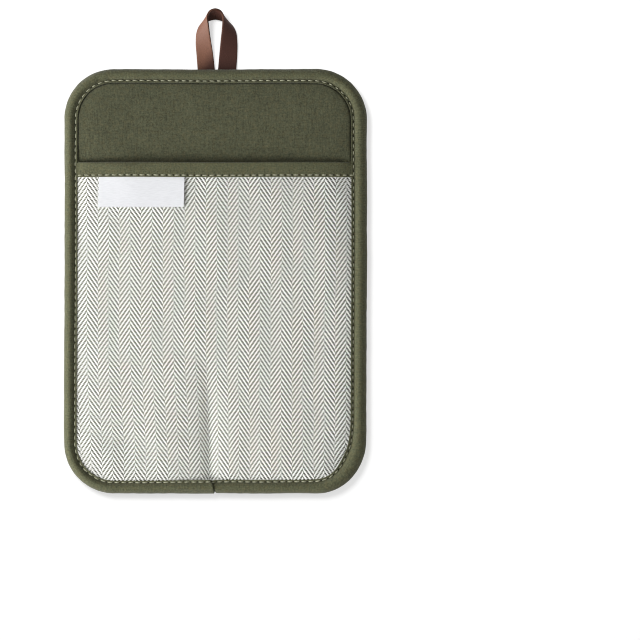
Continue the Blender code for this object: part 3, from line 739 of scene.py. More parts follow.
class Finish(Graph):
    """A material under construction, with its constants set on the shader itself."""

    def __init__(self, name, **constants):
        self.material = bpy.data.materials.new(name)
        self.material.use_nodes = True
        super().__init__(self.material.node_tree)
        self.shader = self.tree.nodes["Principled BSDF"]
        for socket, value in constants.items():
            self.shader.inputs[socket.replace("_", " ").title().replace("Ior", "IOR")].default_value = value

    def feed(self, socket, value):
        self.tree.links.new(value.socket, self.shader.inputs[socket])

    def place(self):
        """The point on the object."""
        return self.read("ShaderNodeTexCoord", output="Object")

    def cloth_map(self):
        """The point on the piece's own cloth."""
        return self.read("ShaderNodeUVMap", {"uv_map": "cloth"})

    def parts(self, vector):
        """The x, y and z of a vector."""
        split = self.node("ShaderNodeSeparateXYZ", values={0: vector})
        return [Reading(self, socket) for socket in split.outputs]

    def stretched(self, vector, x, y, z=1.0):
        return self.read("ShaderNodeVectorMath", {"operation": "MULTIPLY"}, {0: vector, 1: (x, y, z)})

    def noise(self, vector, size, detail=2.0, rough=0.5):
        """Even noise from about 0 to 1, in grains of a size in metres."""
        values = {"Vector": vector, "Scale": 1.0 / size, "Detail": detail, "Roughness": rough}
        return self.read("ShaderNodeTexNoise", values=values, output="Fac")

    def chance(self, value):
        """A random number for each whole value."""
        return self.read("ShaderNodeTexWhiteNoise", {"noise_dimensions": "1D"}, {"W": value}, "Value")

    def blend(self, share, first, second):
        """A colour between two others."""
        made = self.node("ShaderNodeMix", {"data_type": "RGBA"}, {"Factor": share})
        for socket, value in ((made.inputs[6], first), (made.inputs[7], second)):
            if isinstance(value, Reading):
                self.tree.links.new(value.socket, socket)
            else:
                socket.default_value = (*value, 1.0)
        return Reading(self, made.outputs[2])

    def tinted(self, tint, amount):
        """A colour made lighter or darker by an amount that varies."""
        if not isinstance(tint, Reading):
            tint = self.read("ShaderNodeCombineXYZ", values={0: tint[0], 1: tint[1], 2: tint[2]})
        return self.read("ShaderNodeVectorMath", {"operation": "SCALE"}, {0: tint, "Scale": amount})

    def relief(self, height, depth):
        """Bump of a height from 0 to 1 that stands for a depth in metres."""
        values = {"Height": height, "Distance": depth, "Strength": 1.0}
        self.feed("Normal", self.read("ShaderNodeBump", values=values))


# ---------------------------------------------------------------- finishes

def olive_twill(name, shade, from_map, thread=0.36 * MM, hole_shading=None):
    """Matt cotton twill: fine threads, slubs, soft mottling, a little nap, painted shade between the
    threads and, where given, painted shade in the needle holes.
    """
    finish = Finish(name, roughness=0.92, sheen_weight=0.22, sheen_roughness=0.45, specular_ior_level=0.25)
    place = finish.cloth_map() if from_map else finish.place()
    x, y, _ = finish.parts(place)
    warp = x / thread
    weft = y / thread
    step = (finish.maths("FLOOR", warp) + finish.maths("FLOOR", weft)) % 3.0
    warp_shows = step < 1.5
    warp_round = finish.maths("SINE", (warp % 1.0) * math.pi)
    weft_round = finish.maths("SINE", (weft % 1.0) * math.pi)
    height = weft_round + warp_shows * (warp_round - weft_round)

    slubs_up = finish.noise(finish.stretched(place, 1.0, 0.09), 0.6 * MM)
    slubs_across = finish.noise(finish.stretched(place, 0.09, 1.0), 0.6 * MM)
    grain = finish.noise(place, 1.0 * MM, detail=4.0, rough=0.65)
    patches = finish.noise(place, 14 * MM, detail=2.0)
    # Painted shade: the 0.10 * height term darkens the cloth where the threads dip, between them; the other
    # terms are random tone
    amount = (0.93 + 0.10 * height + 0.68 * (slubs_up - 0.5) + 0.45 * (slubs_across - 0.5)
              + 2.0 * (grain - 0.5) + 0.25 * (patches - 0.5))
    flecks = finish.noise(place, 2.2 * MM, detail=2.0)
    browner = (shade[0] * 1.08, shade[1] * 1.0, shade[2] * 0.93)
    cloth = finish.blend(finish.between(flecks, 0.4, 0.7), shade, browner)
    if hole_shading:
        # Painted shade in the needle holes
        amount = amount * hole_shading(finish, x, y)
    finish.feed("Base Color", finish.tinted(cloth, amount))
    finish.relief(0.7 * height + 0.5 * grain + 0.25 * slubs_up, 0.09 * MM)
    return finish.material


def painted_hole_shade(pitch, rows):
    """Painted shade of the needle holes along the stitch rows of a tape, at its own pitch."""
    def shading(finish, x, y):
        along = finish.maths("ABSOLUTE", (x / pitch + 0.5) % 1.0 - 0.5) * pitch
        shade = 1.0
        for row in rows:
            off = finish.maths("SQRT", along * along + (y - row) * (y - row))
            shade = shade * (HOLE_SHADE + (1.0 - HOLE_SHADE) * finish.between(off, *HOLE_RADII))
        return shade
    return shading


def herringbone(colours, warp_pitch=0.587 * MM, weft_pitch=0.8475 * MM):
    """Two and two twill whose diagonals turn back every few threads, in two yarns."""
    finish = Finish("herringbone cotton", roughness=0.9, sheen_weight=0.12, specular_ior_level=0.25)
    place = finish.cloth_map()
    x, y, _ = finish.parts(place)
    sway = finish.noise(place, 26 * MM, detail=1.0)
    lilt = finish.noise(finish.stretched(place, 1.0, 0.6), 19 * MM, detail=1.0)
    warp = (x + (sway - 0.5) * (1.1 * MM) - PEAK_X) / warp_pitch
    weft = (y + (lilt - 0.5) * (1.3 * MM)) / weft_pitch
    warp_number = finish.maths("FLOOR", warp)
    weft_number = finish.maths("FLOOR", weft)
    place_in_band = warp_number % (2.0 * BAND_THREADS)
    turned = place_in_band > (BAND_THREADS - 0.5)
    climb = place_in_band + turned * ((2.0 * BAND_THREADS - 1.0) - 2.0 * place_in_band)
    step = (weft_number + climb + 2.0 * turned) % 4.0
    grey_shows = step < 1.5

    warp_in = warp % 1.0
    weft_in = weft % 1.0
    warp_way = warp_in + turned * (1.0 - 2.0 * warp_in)
    grey_float = finish.maths("SINE", (step + warp_way) * (math.pi / 2))
    white_float = finish.maths("SINE", (step - 2.0 + weft_in) * (math.pi / 2))
    warp_round = finish.maths("SINE", warp_in * math.pi)
    weft_round = finish.maths("SINE", weft_in * math.pi)
    grey_height = finish.maths("SQRT", finish.maths("ABSOLUTE", grey_float * weft_round))
    white_height = finish.maths("SQRT", finish.maths("ABSOLUTE", white_float * warp_round))
    height = white_height + grey_shows * (grey_height - white_height)

    yarn = finish.chance(weft_number)
    cloudy = finish.noise(place, 7 * MM, detail=2.0)
    fibres = finish.noise(place, 0.5 * MM, detail=2.0)
    # Random yarn tone and mottling, plus painted light: the - 5.0 * x term paints the grey yarn lighter on
    # the left and darker on the right, as the light falls from the left
    shade = 0.55 + 0.2 * yarn + 0.6 * cloudy + 0.5 * (fibres - 0.5) + 0.8 * turned - 5.0 * x
    grey = finish.tinted(tuple(colours.grey_yarn), shade)
    white = finish.tinted(tuple(colours.white_yarn), 1.0 + 0.1 * (fibres - 0.5))
    spread = grey_shows * finish.between(weft_round, 0.12, 0.5)
    both = finish.blend(spread, white, grey)
    # Painted shade: the yarn is darker where the threads dip, between them
    finish.feed("Base Color", finish.tinted(both, 0.86 + 0.2 * height))
    finish.relief(height + 0.25 * fibres, 0.16 * MM)
    return finish.material


def satin(colours, thread=0.22 * MM):
    """Close satin ribbon with fine lengthwise threads."""
    finish = Finish("white satin", roughness=0.42, sheen_weight=0.1, specular_ior_level=0.4)
    place = finish.place()
    x, y, _ = finish.parts(place)
    thread_round = finish.maths("SINE", (y / thread % 1.0) * math.pi)
    shift = 0.4 * finish.maths("FLOOR", y / thread)
    tie = finish.maths("SINE", (x / (3.0 * thread) + shift) * (2.0 * math.pi))
    grain = finish.noise(finish.stretched(place, 0.12, 1.0), 0.4 * MM)
    # Painted shade: 0.03 * thread_round darkens the satin a little between its threads; the grain is random
    # tone
    amount = 0.96 + 0.03 * thread_round + 0.2 * (grain - 0.5)
    finish.feed("Base Color", finish.tinted(tuple(colours.satin), amount))
    finish.relief(thread_round + 0.3 * tie + grain, 0.02 * MM)
    return finish.material


def silicone_skin(colours):
    """Satin moulded silicone, with fine dust and faint handling marks."""
    finish = Finish("olive silicone", specular_ior_level=0.45)
    place = finish.place()
    fine = finish.noise(place, 0.25 * MM, detail=2.0)
    marks = finish.noise(finish.stretched(place, 0.3, 1.0), 12 * MM, detail=4.0, rough=0.65)
    finish.feed("Base Color", finish.tinted(tuple(colours.silicone), 0.88 + 0.16 * marks + 0.08 * fine))
    finish.feed("Roughness", 0.36 + 0.2 * marks)
    finish.relief(fine + marks, 0.012 * MM)
    return finish.material


def leather_grain(colours):
    """Smooth side of the strap: pebbled grain, pores, random rubbed patches, and painted light: the left
    leg painted paler than the right one, and painted shade near the edge tape.
    """
    finish = Finish("brown leather", specular_ior_level=0.3)
    place = finish.place()
    x, y, _ = finish.parts(place)
    # Random rubbed patches, plus painted light: the - 60.0 * x term paints the left leg paler and the right
    # leg darker, as the light falls from the left
    rub_and_painted_light = 0.5 + 0.5 * (finish.noise(place, 9 * MM, detail=3.0) - 0.5) - 60.0 * x
    # Painted shade: the strap is darker below y = 144 mm, most at its sewn ends, where the edge tape's roll
    # shades it
    rub_and_painted_light = rub_and_painted_light - 0.6 * (1.0 - finish.between(y, 116 * MM, 144 * MM))
    values = {"Vector": place, "Scale": 1.0 / (0.75 * MM), "Randomness": 1.0}
    pebbles = finish.read("ShaderNodeTexVoronoi", {"feature": "F1"}, values, "Distance")
    pores = finish.noise(place, 0.55 * MM, detail=3.0, rough=0.7)
    darker = (colours.leather[0] * 0.36, colours.leather[1] * 0.30, colours.leather[2] * 0.34)
    base = finish.blend(finish.between(rub_and_painted_light, 0.2, 0.8), darker, tuple(colours.leather))
    finish.feed("Base Color", finish.tinted(base, 0.62 + 0.7 * pores + 0.1 * (1.0 - pebbles)))
    finish.feed("Roughness", 0.42 + 0.2 * pores)
    finish.relief(0.6 * (1.0 - pebbles) + 0.8 * pores, 0.08 * MM)
    return finish.material


def leather_flesh(name, shade, depth):
    """Napped inside or cut edge of the strap, with short fibres."""
    finish = Finish(name, roughness=0.95, sheen_weight=0.15, specular_ior_level=0.2)
    place = finish.place()
    fibres = finish.noise(finish.stretched(place, 1.0, 0.35), 0.5 * MM, detail=4.0, rough=0.7)
    clumps = finish.noise(place, 2.5 * MM, detail=3.0)
    finish.feed("Base Color", finish.tinted(tuple(shade), 0.35 + 0.75 * fibres + 0.5 * clumps))
    finish.relief(fibres + clumps, depth)
    return finish.material


def sewing_thread(colours):
    """Two plies twisted together, lighter than the tape."""
    finish = Finish("khaki thread", roughness=0.75, sheen_weight=0.2, specular_ior_level=0.3)
    ply = finish.read("ShaderNodeAttribute", {"attribute_name": "ply"}, output="Fac")
    twist = finish.maths("SINE", ply * (2.0 * math.pi))
    uneven = finish.noise(finish.place(), 3.1 * MM, detail=1.0)
    # Painted shade: 0.16 * twist darkens the thread in the grooves between its plies; the noise is random
    # tone
    finish.feed("Base Color", finish.tinted(tuple(colours.thread), 0.72 + 0.16 * twist + 0.5 * uneven))
    finish.relief(0.5 + 0.5 * twist, 0.06 * MM)
    return finish.material


# ---------------------------------------------------------------- pieces

def pad_layout(shape, step):
    """Rows and columns of the whole pad, closer near the seam."""
    across = closer_near_ends(shape.half_width, SHEET_EDGE, step)
    along = closer_near_ends(shape.half_height, SHEET_EDGE, step)
    return np.meshgrid(across, along)


def front_relief(shape, x, y):
    """Fine unevenness of the bare panel and the slot pressed along the mouth."""
    pulls = shape.puckers(x, y, PANEL_PULLS) + shape.puckers(x, y, PANEL_LONG_PULLS)
    slot = PANEL_SLOT * np.exp(-((y - shape.sizes.mouth_y) / PANEL_SLOT_WIDTH) ** 2)
    slot = slot * ease(shape.past_lip(x, y), 0.0, PANEL_SLOT_FADE)
    return (pulls + waves(x, y, PANEL_GRAIN)) * shape.bare(y) - slot


class POTHOLDER_OT_cotton_front(bpy.types.Operator):
    """Make the olive cotton front with its wadding, one filled form"""
    bl_idname = "pot_holder.cotton_front"
    bl_label = "Cotton Front"

    def execute(self, context):
        sizes, _, colours, _ = of_scene(context)
        shape = PadShape(sizes)
        across, along = pad_layout(shape, FRONT_STEP)
        x, y = shape.plan(across, along, SHEET_EDGE)
        top = shape.pad_top(x, y) + front_relief(shape, x, y)
        under = shape.pad_underside(x, y)
        placed_x, placed_y = shape.sewn(x, y)
        upper = np.stack([placed_x, placed_y, top], axis=-1)
        lower = np.stack([placed_x, placed_y, under], axis=-1)
        front = add_slab("cotton_front", upper, lower)
        cotton = olive_twill("olive cotton", tuple(colours.panel), False)
        finish_piece(front, [cotton], "olive_cotton", "front_pad")
        return {"FINISHED"}


def pocket_map(x, y):
    """Where a point of the pocket lies on its cloth: the crease draws the cloth in."""
    drawn = np.interp(x, CREASE_DRAWS_AT_X, CREASE_DRAWS_BY)
    return np.stack([x - drawn * ease(y, *CREASE_DRAWS_Y), y], axis=-1)


class POTHOLDER_OT_pocket(bpy.types.Operator):
    """Make the herringbone pocket, sewn in on three sides and open at its mouth"""
    bl_idname = "pot_holder.pocket"
    bl_label = "Herringbone Pocket"

    def execute(self, context):
        sizes, _, colours, _ = of_scene(context)
        shape = PadShape(sizes)
        across, along = pad_layout(shape, POCKET_STEP)
        below_mouth = along[:, 0] < POCKET_TOP_Y - LAST_ROW_GAP
        along = np.append(along[below_mouth, 0], POCKET_TOP_Y)
        x, y = shape.plan(*np.meshgrid(across[0], along), SHEET_EDGE)
        pulls = shape.puckers(x, y, POCKET_PULLS) * ease(y, *POCKET_CALM_Y)
        top = shape.pocket_top(x, y) + pulls + waves(x, y, POCKET_GRAIN)
        face = np.stack([*shape.sewn(x, y), top], axis=-1)
        back = backed(face, sizes.cloth_thickness)
        pocket = add_slab("herringbone_pocket", face, back, pocket_map(x, y))
        finish_piece(pocket, [herringbone(colours)], "herringbone", "pocket")
        return {"FINISHED"}


def label_bulge(x, y, sizes):
    """How far the tape rises over the label's tucked edge."""
    across = ease(x, LABEL_LEFT - BULGE_SIDE, LABEL_LEFT) * ease(x, LABEL_RIGHT + BULGE_SIDE, LABEL_RIGHT)
    tucked_y = sizes.mouth_y - sizes.band_width + LABEL_TUCK
    return (LABEL_THICKNESS + AIR) * across * ease(y, tucked_y + BULGE_ABOVE, tucked_y)


def band_end(shape):
    """How far the mouth's tape reaches to each side, just under the edge tape's lip."""
    return shape.half_width - REACH_LEFT + BAND_UNDER_LIP


def mouth_section(shape, x):
    """Outer face of the mouth's tape at x: front leg, round fold and hidden leg."""
    sizes = shape.sizes
    tape = sizes.tape_thickness
    mouth = sizes.mouth_y
    lower = mouth - sizes.band_width
    lift = shape.mouth_lift(x, mouth)
    wrap = float(ease(lift, *WRAP_LIFTS))
    puff = FOLD_PUFF * math.exp(-((x - FOLD_PUFF_X) / FOLD_PUFF_WIDTH) ** 2) * wrap
    half_thickness = sizes.cloth_thickness / 2 + AIR + tape
    crest_y = mouth - half_thickness - FOLD_PUFF_LENGTH * puff
    middle = shape.pocket_underside(x, mouth - half_thickness) + sizes.cloth_thickness / 2

    rows = lower + np.array(BAND_ROWS) * MM
    upper = np.linspace(lower + BAND_UPPER_START, crest_y - BAND_UPPER_END, BAND_UPPER_ROWS)
    section = []
    for y in np.concatenate([rows, upper]):
        groove = BAND_GROOVE * math.exp(-((y - lower - BAND_STITCH_Y) / BAND_GROOVE_WIDTH) ** 2)
        swell = (puff + BAND_SWELL * wrap) * float(ease(y, lower + BAND_STITCH_Y, crest_y))
        level = shape.pocket_top(x, y) + AIR + tape + label_bulge(x, y, sizes)
        section.append((y, level - groove + swell))
    top = shape.pocket_top(x, crest_y) + AIR + tape + puff + BAND_SWELL * wrap
    for turn in np.radians(BAND_FOLD_TURNS):
        y = crest_y + (mouth - crest_y) * math.cos(turn)
        section.append((y, middle + (top - middle) * math.sin(turn)))
    last_turn = math.radians(mix(*LAST_FOLD_TURNS, wrap))
    for turn in np.linspace(0.0, last_turn, BAND_UNDER_ROWS):
        y = mouth - half_thickness * (1.0 - math.cos(turn))
        section.append((y, middle + half_thickness * math.sin(turn)))
    turn_in = mix(BAND_TURN_IN_LEAST, BAND_TURN_IN, float(ease(lift, *TURN_IN_LIFTS)))
    start_y, start_z = section[-1]
    for share in (0.25, 0.5, 0.75, 1.0):
        leg_y = start_y + math.sin(last_turn) * turn_in * share
        leg_z = start_z - math.cos(last_turn) * turn_in * share
        leg_z += (shape.pocket_underside(x, leg_y) - shape.pocket_underside(x, start_y)) * wrap
        section.append((leg_y, leg_z))
    return section


class POTHOLDER_OT_mouth_tape(bpy.types.Operator):
    """Make the tape that is folded over the pocket's mouth"""
    bl_idname = "pot_holder.mouth_tape"
    bl_label = "Mouth Tape"

    def execute(self, context):
        sizes, stitches, colours, _ = of_scene(context)
        shape = PadShape(sizes)
        end_x = band_end(shape)
        stations = steps_between(-end_x, end_x, stitches.pitch / STATIONS_PER_STITCH)
        rows = np.array([mouth_section(shape, x) for x in stations], float)
        x = np.repeat(stations[:, None], rows.shape[1], axis=1)
        y, z = rows[:, :, 0], rows[:, :, 1]
        lower = rows[0, 0, 0]
        z = z + waves(x, 0.6 * y, BAND_RIPPLES) * ease(y, lower, lower + BAND_CALM)
        steps = np.hypot(np.diff(y, axis=1), np.diff(z, axis=1))
        across = np.concatenate([np.zeros((len(stations), 1)), np.cumsum(steps, axis=1)], axis=1)
        face = np.stack([*shape.sewn(x, y), z], axis=-1).transpose(1, 0, 2)
        cloth = np.stack([x + end_x, across], axis=-1).transpose(1, 0, 2)
        tape = add_slab("mouth_tape", face, backed(face, sizes.tape_thickness), cloth)
        run = 2.0 * end_x
        # Painted shade of the needle holes along the band's stitch row
        hole_shading = painted_hole_shade(run / stitch_count(run, stitches.pitch), [BAND_STITCH_Y])
        finish_piece(tape, [olive_twill("mouth tape", tuple(colours.tape), True, hole_shading=hole_shading)],
                     "olive_tape", "pocket_binding")
        return {"FINISHED"}


def stitch_count(run, pitch):
    return max(1, int(round(run / pitch)))


def tape_stations(shape, step):
    """Stations along the outline, from the covered end round to the end on top of it.

    Gives arrays of x, y, outward x, outward y and distance along the outline.
    """
    width, height, radius = shape.half_width, shape.half_height, shape.radius
    corner_x, corner_y = shape.corner_x, shape.corner_y
    runs = []

    def straight(start, end, outward):
        share = np.arange(0, stitch_count(math.dist(start, end), step))
        share = share / len(share)
        runs.append((mix(start[0], end[0], share), mix(start[1], end[1], share),
                     np.full(len(share), outward[0]), np.full(len(share), outward[1])))

    def corner(centre, first_degrees):
        count = stitch_count(radius * math.pi / 2, step)
        turn = np.radians(first_degrees + 90.0 * np.arange(count) / count)
        runs.append((centre[0] + radius * np.cos(turn), centre[1] + radius * np.sin(turn),
                     np.cos(turn), np.sin(turn)))

    straight((LAP_START_X, -height), (corner_x, -height), (0.0, -1.0))
    corner((corner_x, -corner_y), -90)
    straight((width, -corner_y), (width, corner_y), (1.0, 0.0))
    corner((corner_x, corner_y), 0)
    straight((corner_x, height), (-corner_x, height), (0.0, 1.0))
    corner((-corner_x, corner_y), 90)
    straight((-width, corner_y), (-width, -corner_y), (-1.0, 0.0))
    corner((-corner_x, -corner_y), 180)
    straight((-corner_x, -height), (LAP_OUTER_X, -height), (0.0, -1.0))
    x, y, out_x, out_y = (np.concatenate(part) for part in zip(*runs))
    x, y = np.append(x, (LAP_OUTER_X - LAP_FOLD_WIDTH, LAP_OUTER_X)), np.append(y, (-height, -height))
    out_x, out_y = np.append(out_x, (0.0, 0.0)), np.append(out_y, (-1.0, -1.0))
    distance = np.concatenate([[0.0], np.cumsum(np.hypot(np.diff(x), np.diff(y)))])
    return x, y, out_x, out_y, distance


def beats_along(x, y, pitch):
    """Stitches counted along a path, a whole number of them in all."""
    run = np.concatenate([[0.0], np.cumsum(np.hypot(np.diff(x), np.diff(y)))])
    return run / run[-1] * stitch_count(run[-1], pitch)


def tape_surface(shape, pitch):
    """The edge tape's outer face, the stitches counted along it and the run across it.

    The face has a row of points for each station, the counts are one for each row and the
    runs one for each column.
    """
    stations = tape_stations(shape, pitch / STATIONS_PER_STITCH)
    x, y, out_x, out_y, distance = (part[:, None] for part in stations)
    section = smooth_rows(TAPE_SECTION, SECTION_STEPS) * MM
    inset, height = section[:, 0][None, :], section[:, 1][None, :]
    run, climb = np.gradient(section[:, 0]), np.gradient(section[:, 1])
    lean_in, lean_up = (part[None, :] / np.hypot(run, climb) for part in (climb, -run))
    across = np.concatenate([[0.0], np.cumsum(np.hypot(*np.diff(section, axis=0).T))])

    stretch = shape.reach(x - out_x * FRONT_LIP, y - out_y * FRONT_LIP) / FRONT_LIP
    places = np.arange(len(section))[None, :]
    inset = inset * np.where(places < section[:, 0].argmin(), stretch, 1.0)

    last_run = distance > distance[-1] - LAST_RUN
    lap_share = mix(LAP_RAISE_OUTSIDE, 1.0, ease(inset, *LAP_RAISE_INSETS))
    lap = ease(x, LAP_FOOT_X, LAP_TOP_X) * last_run * lap_share
    calm = ease(distance, 0.0, LAP_CALM) * ease(distance[-1] - distance, 0.0, LAP_CALM)
    end_x = mix(LAP_FRONT_X, LAP_OUTER_X, np.clip(2.0 * places / len(section), 0.0, 1.0))
    squeeze = ease(x, LAP_TOP_X, LAP_OUTER_X) * last_run
    x = x + squeeze * (end_x - LAP_OUTER_X)

    groove = FRONT_STITCH_ROW * SECTION_STEPS
    beats = beats_along((x - out_x * inset)[:, groove], (y - out_y * inset)[:, groove], pitch)
    in_corner = (np.minimum(np.abs(out_x), np.abs(out_y)) > 0.01) * 1.0
    lip = np.exp(-across / LIP_RIPPLE_WIDTH) + np.exp(-(across[-1] - across) / LIP_RIPPLE_WIDTH)
    near_rows = sum(np.exp(-((across - across[row * SECTION_STEPS]) / STITCH_TUG_WIDTH) ** 2)
                    for row in (FRONT_STITCH_ROW, BACK_STITCH_ROW))
    ripples = (waves(distance, across * 0.5, LIP_RIPPLES) * lip * in_corner
               + waves(distance, across, TAPE_RIPPLES) + waves(distance, across, TAPE_HILLS)) * calm
    ripples -= STITCH_TUG * np.cos(2.0 * math.pi * beats)[:, None] * near_rows

    away_in = TAPE_CORE_FLATNESS * (inset - TAPE_CORE.inset * MM)
    away_up = height - TAPE_CORE.height * MM
    far = np.hypot(away_in, away_up)
    pressed = ease(x - end_x, *LAP_SINK_WIDTHS) * (distance < FIRST_RUN)
    folded = distance > distance[-1] - LAP_FOLD_WIDTH / 2
    raise_by = LAP_RAISE * lap - LAP_SINK * pressed - LAP_FOLD * folded
    raised_in = lean_in * ripples + away_in / far * raise_by
    raised_up = lean_up * ripples + away_up / far * raise_by
    inset, height = inset + raised_in, height + raised_up
    placed = shape.sewn(x - out_x * inset, y - out_y * inset)
    return np.stack(np.broadcast_arrays(*placed, height), axis=-1), beats, across


class POTHOLDER_OT_edge_tape(bpy.types.Operator):
    """Make the tape folded round the edge, its folded end lapping over its start"""
    bl_idname = "pot_holder.edge_tape"
    bl_label = "Edge Tape"

    def execute(self, context):
        sizes, stitches, colours, _ = of_scene(context)
        shape = PadShape(sizes)
        face, beats, across = tape_surface(shape, stitches.pitch)
        cloth = np.stack(np.meshgrid(across, beats * stitches.pitch)[::-1], axis=-1)
        tape = add_slab("edge_tape", face, backed(face, sizes.tape_thickness), cloth)
        rows = [float(across[row * SECTION_STEPS]) for row in (FRONT_STITCH_ROW, BACK_STITCH_ROW)]
        # Painted shade of the needle holes along both stitch rows
        hole_shading = painted_hole_shade(stitches.pitch, rows)
        finish_piece(tape, [olive_twill("edge tape", tuple(colours.tape), True, hole_shading=hole_shading)],
                     "olive_tape", "edge_binding")
        return {"FINISHED"}


class POTHOLDER_OT_label(bpy.types.Operator):
    """Make the blank satin label, its top edge tucked under the mouth's tape"""
    bl_idname = "pot_holder.label"
    bl_label = "Blank Label"

    def execute(self, context):
        sizes, _, colours, _ = of_scene(context)
        shape = PadShape(sizes)
        top = sizes.mouth_y - sizes.band_width + LABEL_TUCK
        up, across = np.meshgrid(np.linspace(0.0, 1.0, LABEL_ROWS),
                                 np.linspace(0.0, 1.0, LABEL_COLUMNS), indexing="ij")
        x = mix(LABEL_LEFT, LABEL_RIGHT, across) - LABEL_SKEW * (1.0 - up)
        y = mix(LABEL_BOTTOM, top, up)
        free = ease(up, 0.85, 0.0)
        lifted = ease(up, 0.97, 0.8) * np.maximum(across - 0.5, 0.0) ** 2 * 4.0
        curl = LABEL_CURL * lifted + LABEL_CURL_LEFT * free * ease(across, 0.2, 0.0)
        billow = LABEL_BILLOW * free * np.sin(math.pi * across) ** 2
        z = shape.pocket_top(x, y) + AIR + LABEL_THICKNESS + curl + billow
        face = np.stack([*shape.sewn(x, y), z], axis=-1)
        label = add_slab("satin_label", face, backed(face, LABEL_THICKNESS))
        finish_piece(label, [satin(colours)], "satin", "label")
        return {"FINISHED"}


def open_tree(name, sockets):
    """Start a modifier's node tree and give readings of its inputs, in their order."""
    tree = bpy.data.node_groups.new(name, "GeometryNodeTree")
    tree.is_modifier = True
    tree.interface.new_socket("Geometry", in_out="OUTPUT", socket_type="NodeSocketGeometry")
    for label, kind in sockets:
        tree.interface.new_socket(label, in_out="INPUT", socket_type="NodeSocket" + kind)
    graph = Graph(tree)
    given = graph.node("NodeGroupInput")
    return graph, [Reading(graph, given.outputs[label]) for label, _ in sockets]


def close_tree(graph, made, finish):
    """End a node tree: its copies become a mesh with one material."""
    real = graph.read("GeometryNodeRealizeInstances", values={"Geometry": made})
    done = graph.read("GeometryNodeSetMaterial", values={"Geometry": real, "Material": finish})
    graph.node("NodeGroupOutput", values={0: done})
    return graph.tree


def rib_tree():
    """Node tree that raises the ribs on the underside of a flat sheet."""
    graph, (sheet, first, pitch, height, count, finish) = open_tree("raise ribs", (
        ("Sheet", "Geometry"), ("First Rib", "Float"), ("Pitch", "Float"),
        ("Height", "Float"), ("Count", "Int"), ("Finish", "Material")))

    position = graph.read("GeometryNodeInputPosition")
    along = graph.read("ShaderNodeSeparateXYZ", values={0: position}, output="Y")
    ribs_down = (first - along) / pitch
    curve = graph.node("ShaderNodeFloatCurve", values={"Value": ribs_down % 1.0})
    points = curve.mapping.curves[0].points
    for share, rise in RIB_PROFILE[1:-1]:
        points.new(share, rise)
    points[0].location = RIB_PROFILE[0]
    points[-1].location = RIB_PROFILE[-1]
    curve.mapping.update()
    ribbed = (ribs_down > 0.0) * (ribs_down < count)
    shown = graph.read("GeometryNodeInputNamedAttribute", {"data_type": "FLOAT"}, {"Name": "ribbed"})
    drop = Reading(graph, curve.outputs[0]) * height * ribbed * shown * -1.0
    offset = graph.read("ShaderNodeCombineXYZ", values={2: drop})
    raised = graph.read("GeometryNodeSetPosition", values={"Geometry": sheet, "Offset": offset})
    return close_tree(graph, raised, finish)


def run_tree(made, tree, **inputs):
    """Put a node tree on an object, set its inputs and keep what it makes."""
    modifier = made.modifiers.new("tree", "NODES")
    modifier.node_group = tree
    for item in tree.interface.items_tree:
        if item.item_type == "SOCKET" and item.in_out == "INPUT" and item.name in inputs:
            modifier[item.identifier] = inputs[item.name]
    settle(made)


class POTHOLDER_OT_silicone_back(bpy.types.Operator):
    """Make the moulded silicone sheet with its ribs"""
    bl_idname = "pot_holder.silicone_back"
    bl_label = "Ribbed Silicone Back"

    def execute(self, context):
        sizes, _, colours, _ = of_scene(context)
        shape = PadShape(sizes)
        last_rib = FIRST_RIB_Y - sizes.rib_count * sizes.rib_pitch
        end = shape.half_height - SHEET_EDGE
        ys = np.concatenate([steps_between(end, FIRST_RIB_Y, SILICONE_STEP)[:-1],
                             np.linspace(FIRST_RIB_Y, last_rib, sizes.rib_count * RIB_ROWS + 1),
                             steps_between(last_rib, -end, SILICONE_STEP)[1:]])
        columns = self.half_columns(shape, ys)
        middle = np.linspace(-columns[:, -1], columns[:, -1], SILICONE_MIDDLE_COLUMNS).T[:, 1:-1]
        x = np.concatenate([-columns, middle, columns[:, ::-1]], axis=1)
        y = np.repeat(ys[:, None], x.shape[1], axis=1)
        hills = 0.5 * (BACK_HILLS.height * MM + waves(x, y, BACK_HILLS))
        z = shape.silicone_underside(x, y) + hills
        sheet = add_sheet("ribbed_silicone", np.stack([*shape.sewn(x, y), z], axis=-1))
        shown = ease(shape.inset(x, y), RIB_END_INSET, RIB_END_INSET + RIB_END_LENGTH)
        ribbed = sheet.data.attributes.new("ribbed", "FLOAT", "POINT")
        ribbed.data.foreach_set("value", shown.ravel().astype(np.float32))
        inputs = {"First Rib": FIRST_RIB_Y, "Pitch": sizes.rib_pitch, "Height": sizes.rib_height,
                  "Count": sizes.rib_count, "Finish": silicone_skin(colours)}
        run_tree(sheet, rib_tree(), **inputs)
        solid = sheet.modifiers.new("thickness", "SOLIDIFY")
        solid.thickness = SILICONE_SHEET
        solid.offset = -1.0
        settle(sheet)
        finish_piece(sheet, [], "silicone", "silicone_back")
        return {"FINISHED"}

    @staticmethod
    def half_columns(shape, ys):
        """Columns on the right, each along the outline drawn in by one inset."""
        past = np.maximum(np.abs(ys) - shape.corner_y, 0.0)
        columns = []
        for inset in SILICONE_INSETS:
            radius = shape.radius - inset * MM
            width = shape.corner_x + np.sqrt(np.maximum(radius ** 2 - past ** 2, 0.0))
            if columns:
                width = np.minimum(width, columns[-1] - SILICONE_SPACING)
            columns.append(width)
        return np.stack(columns, axis=1)


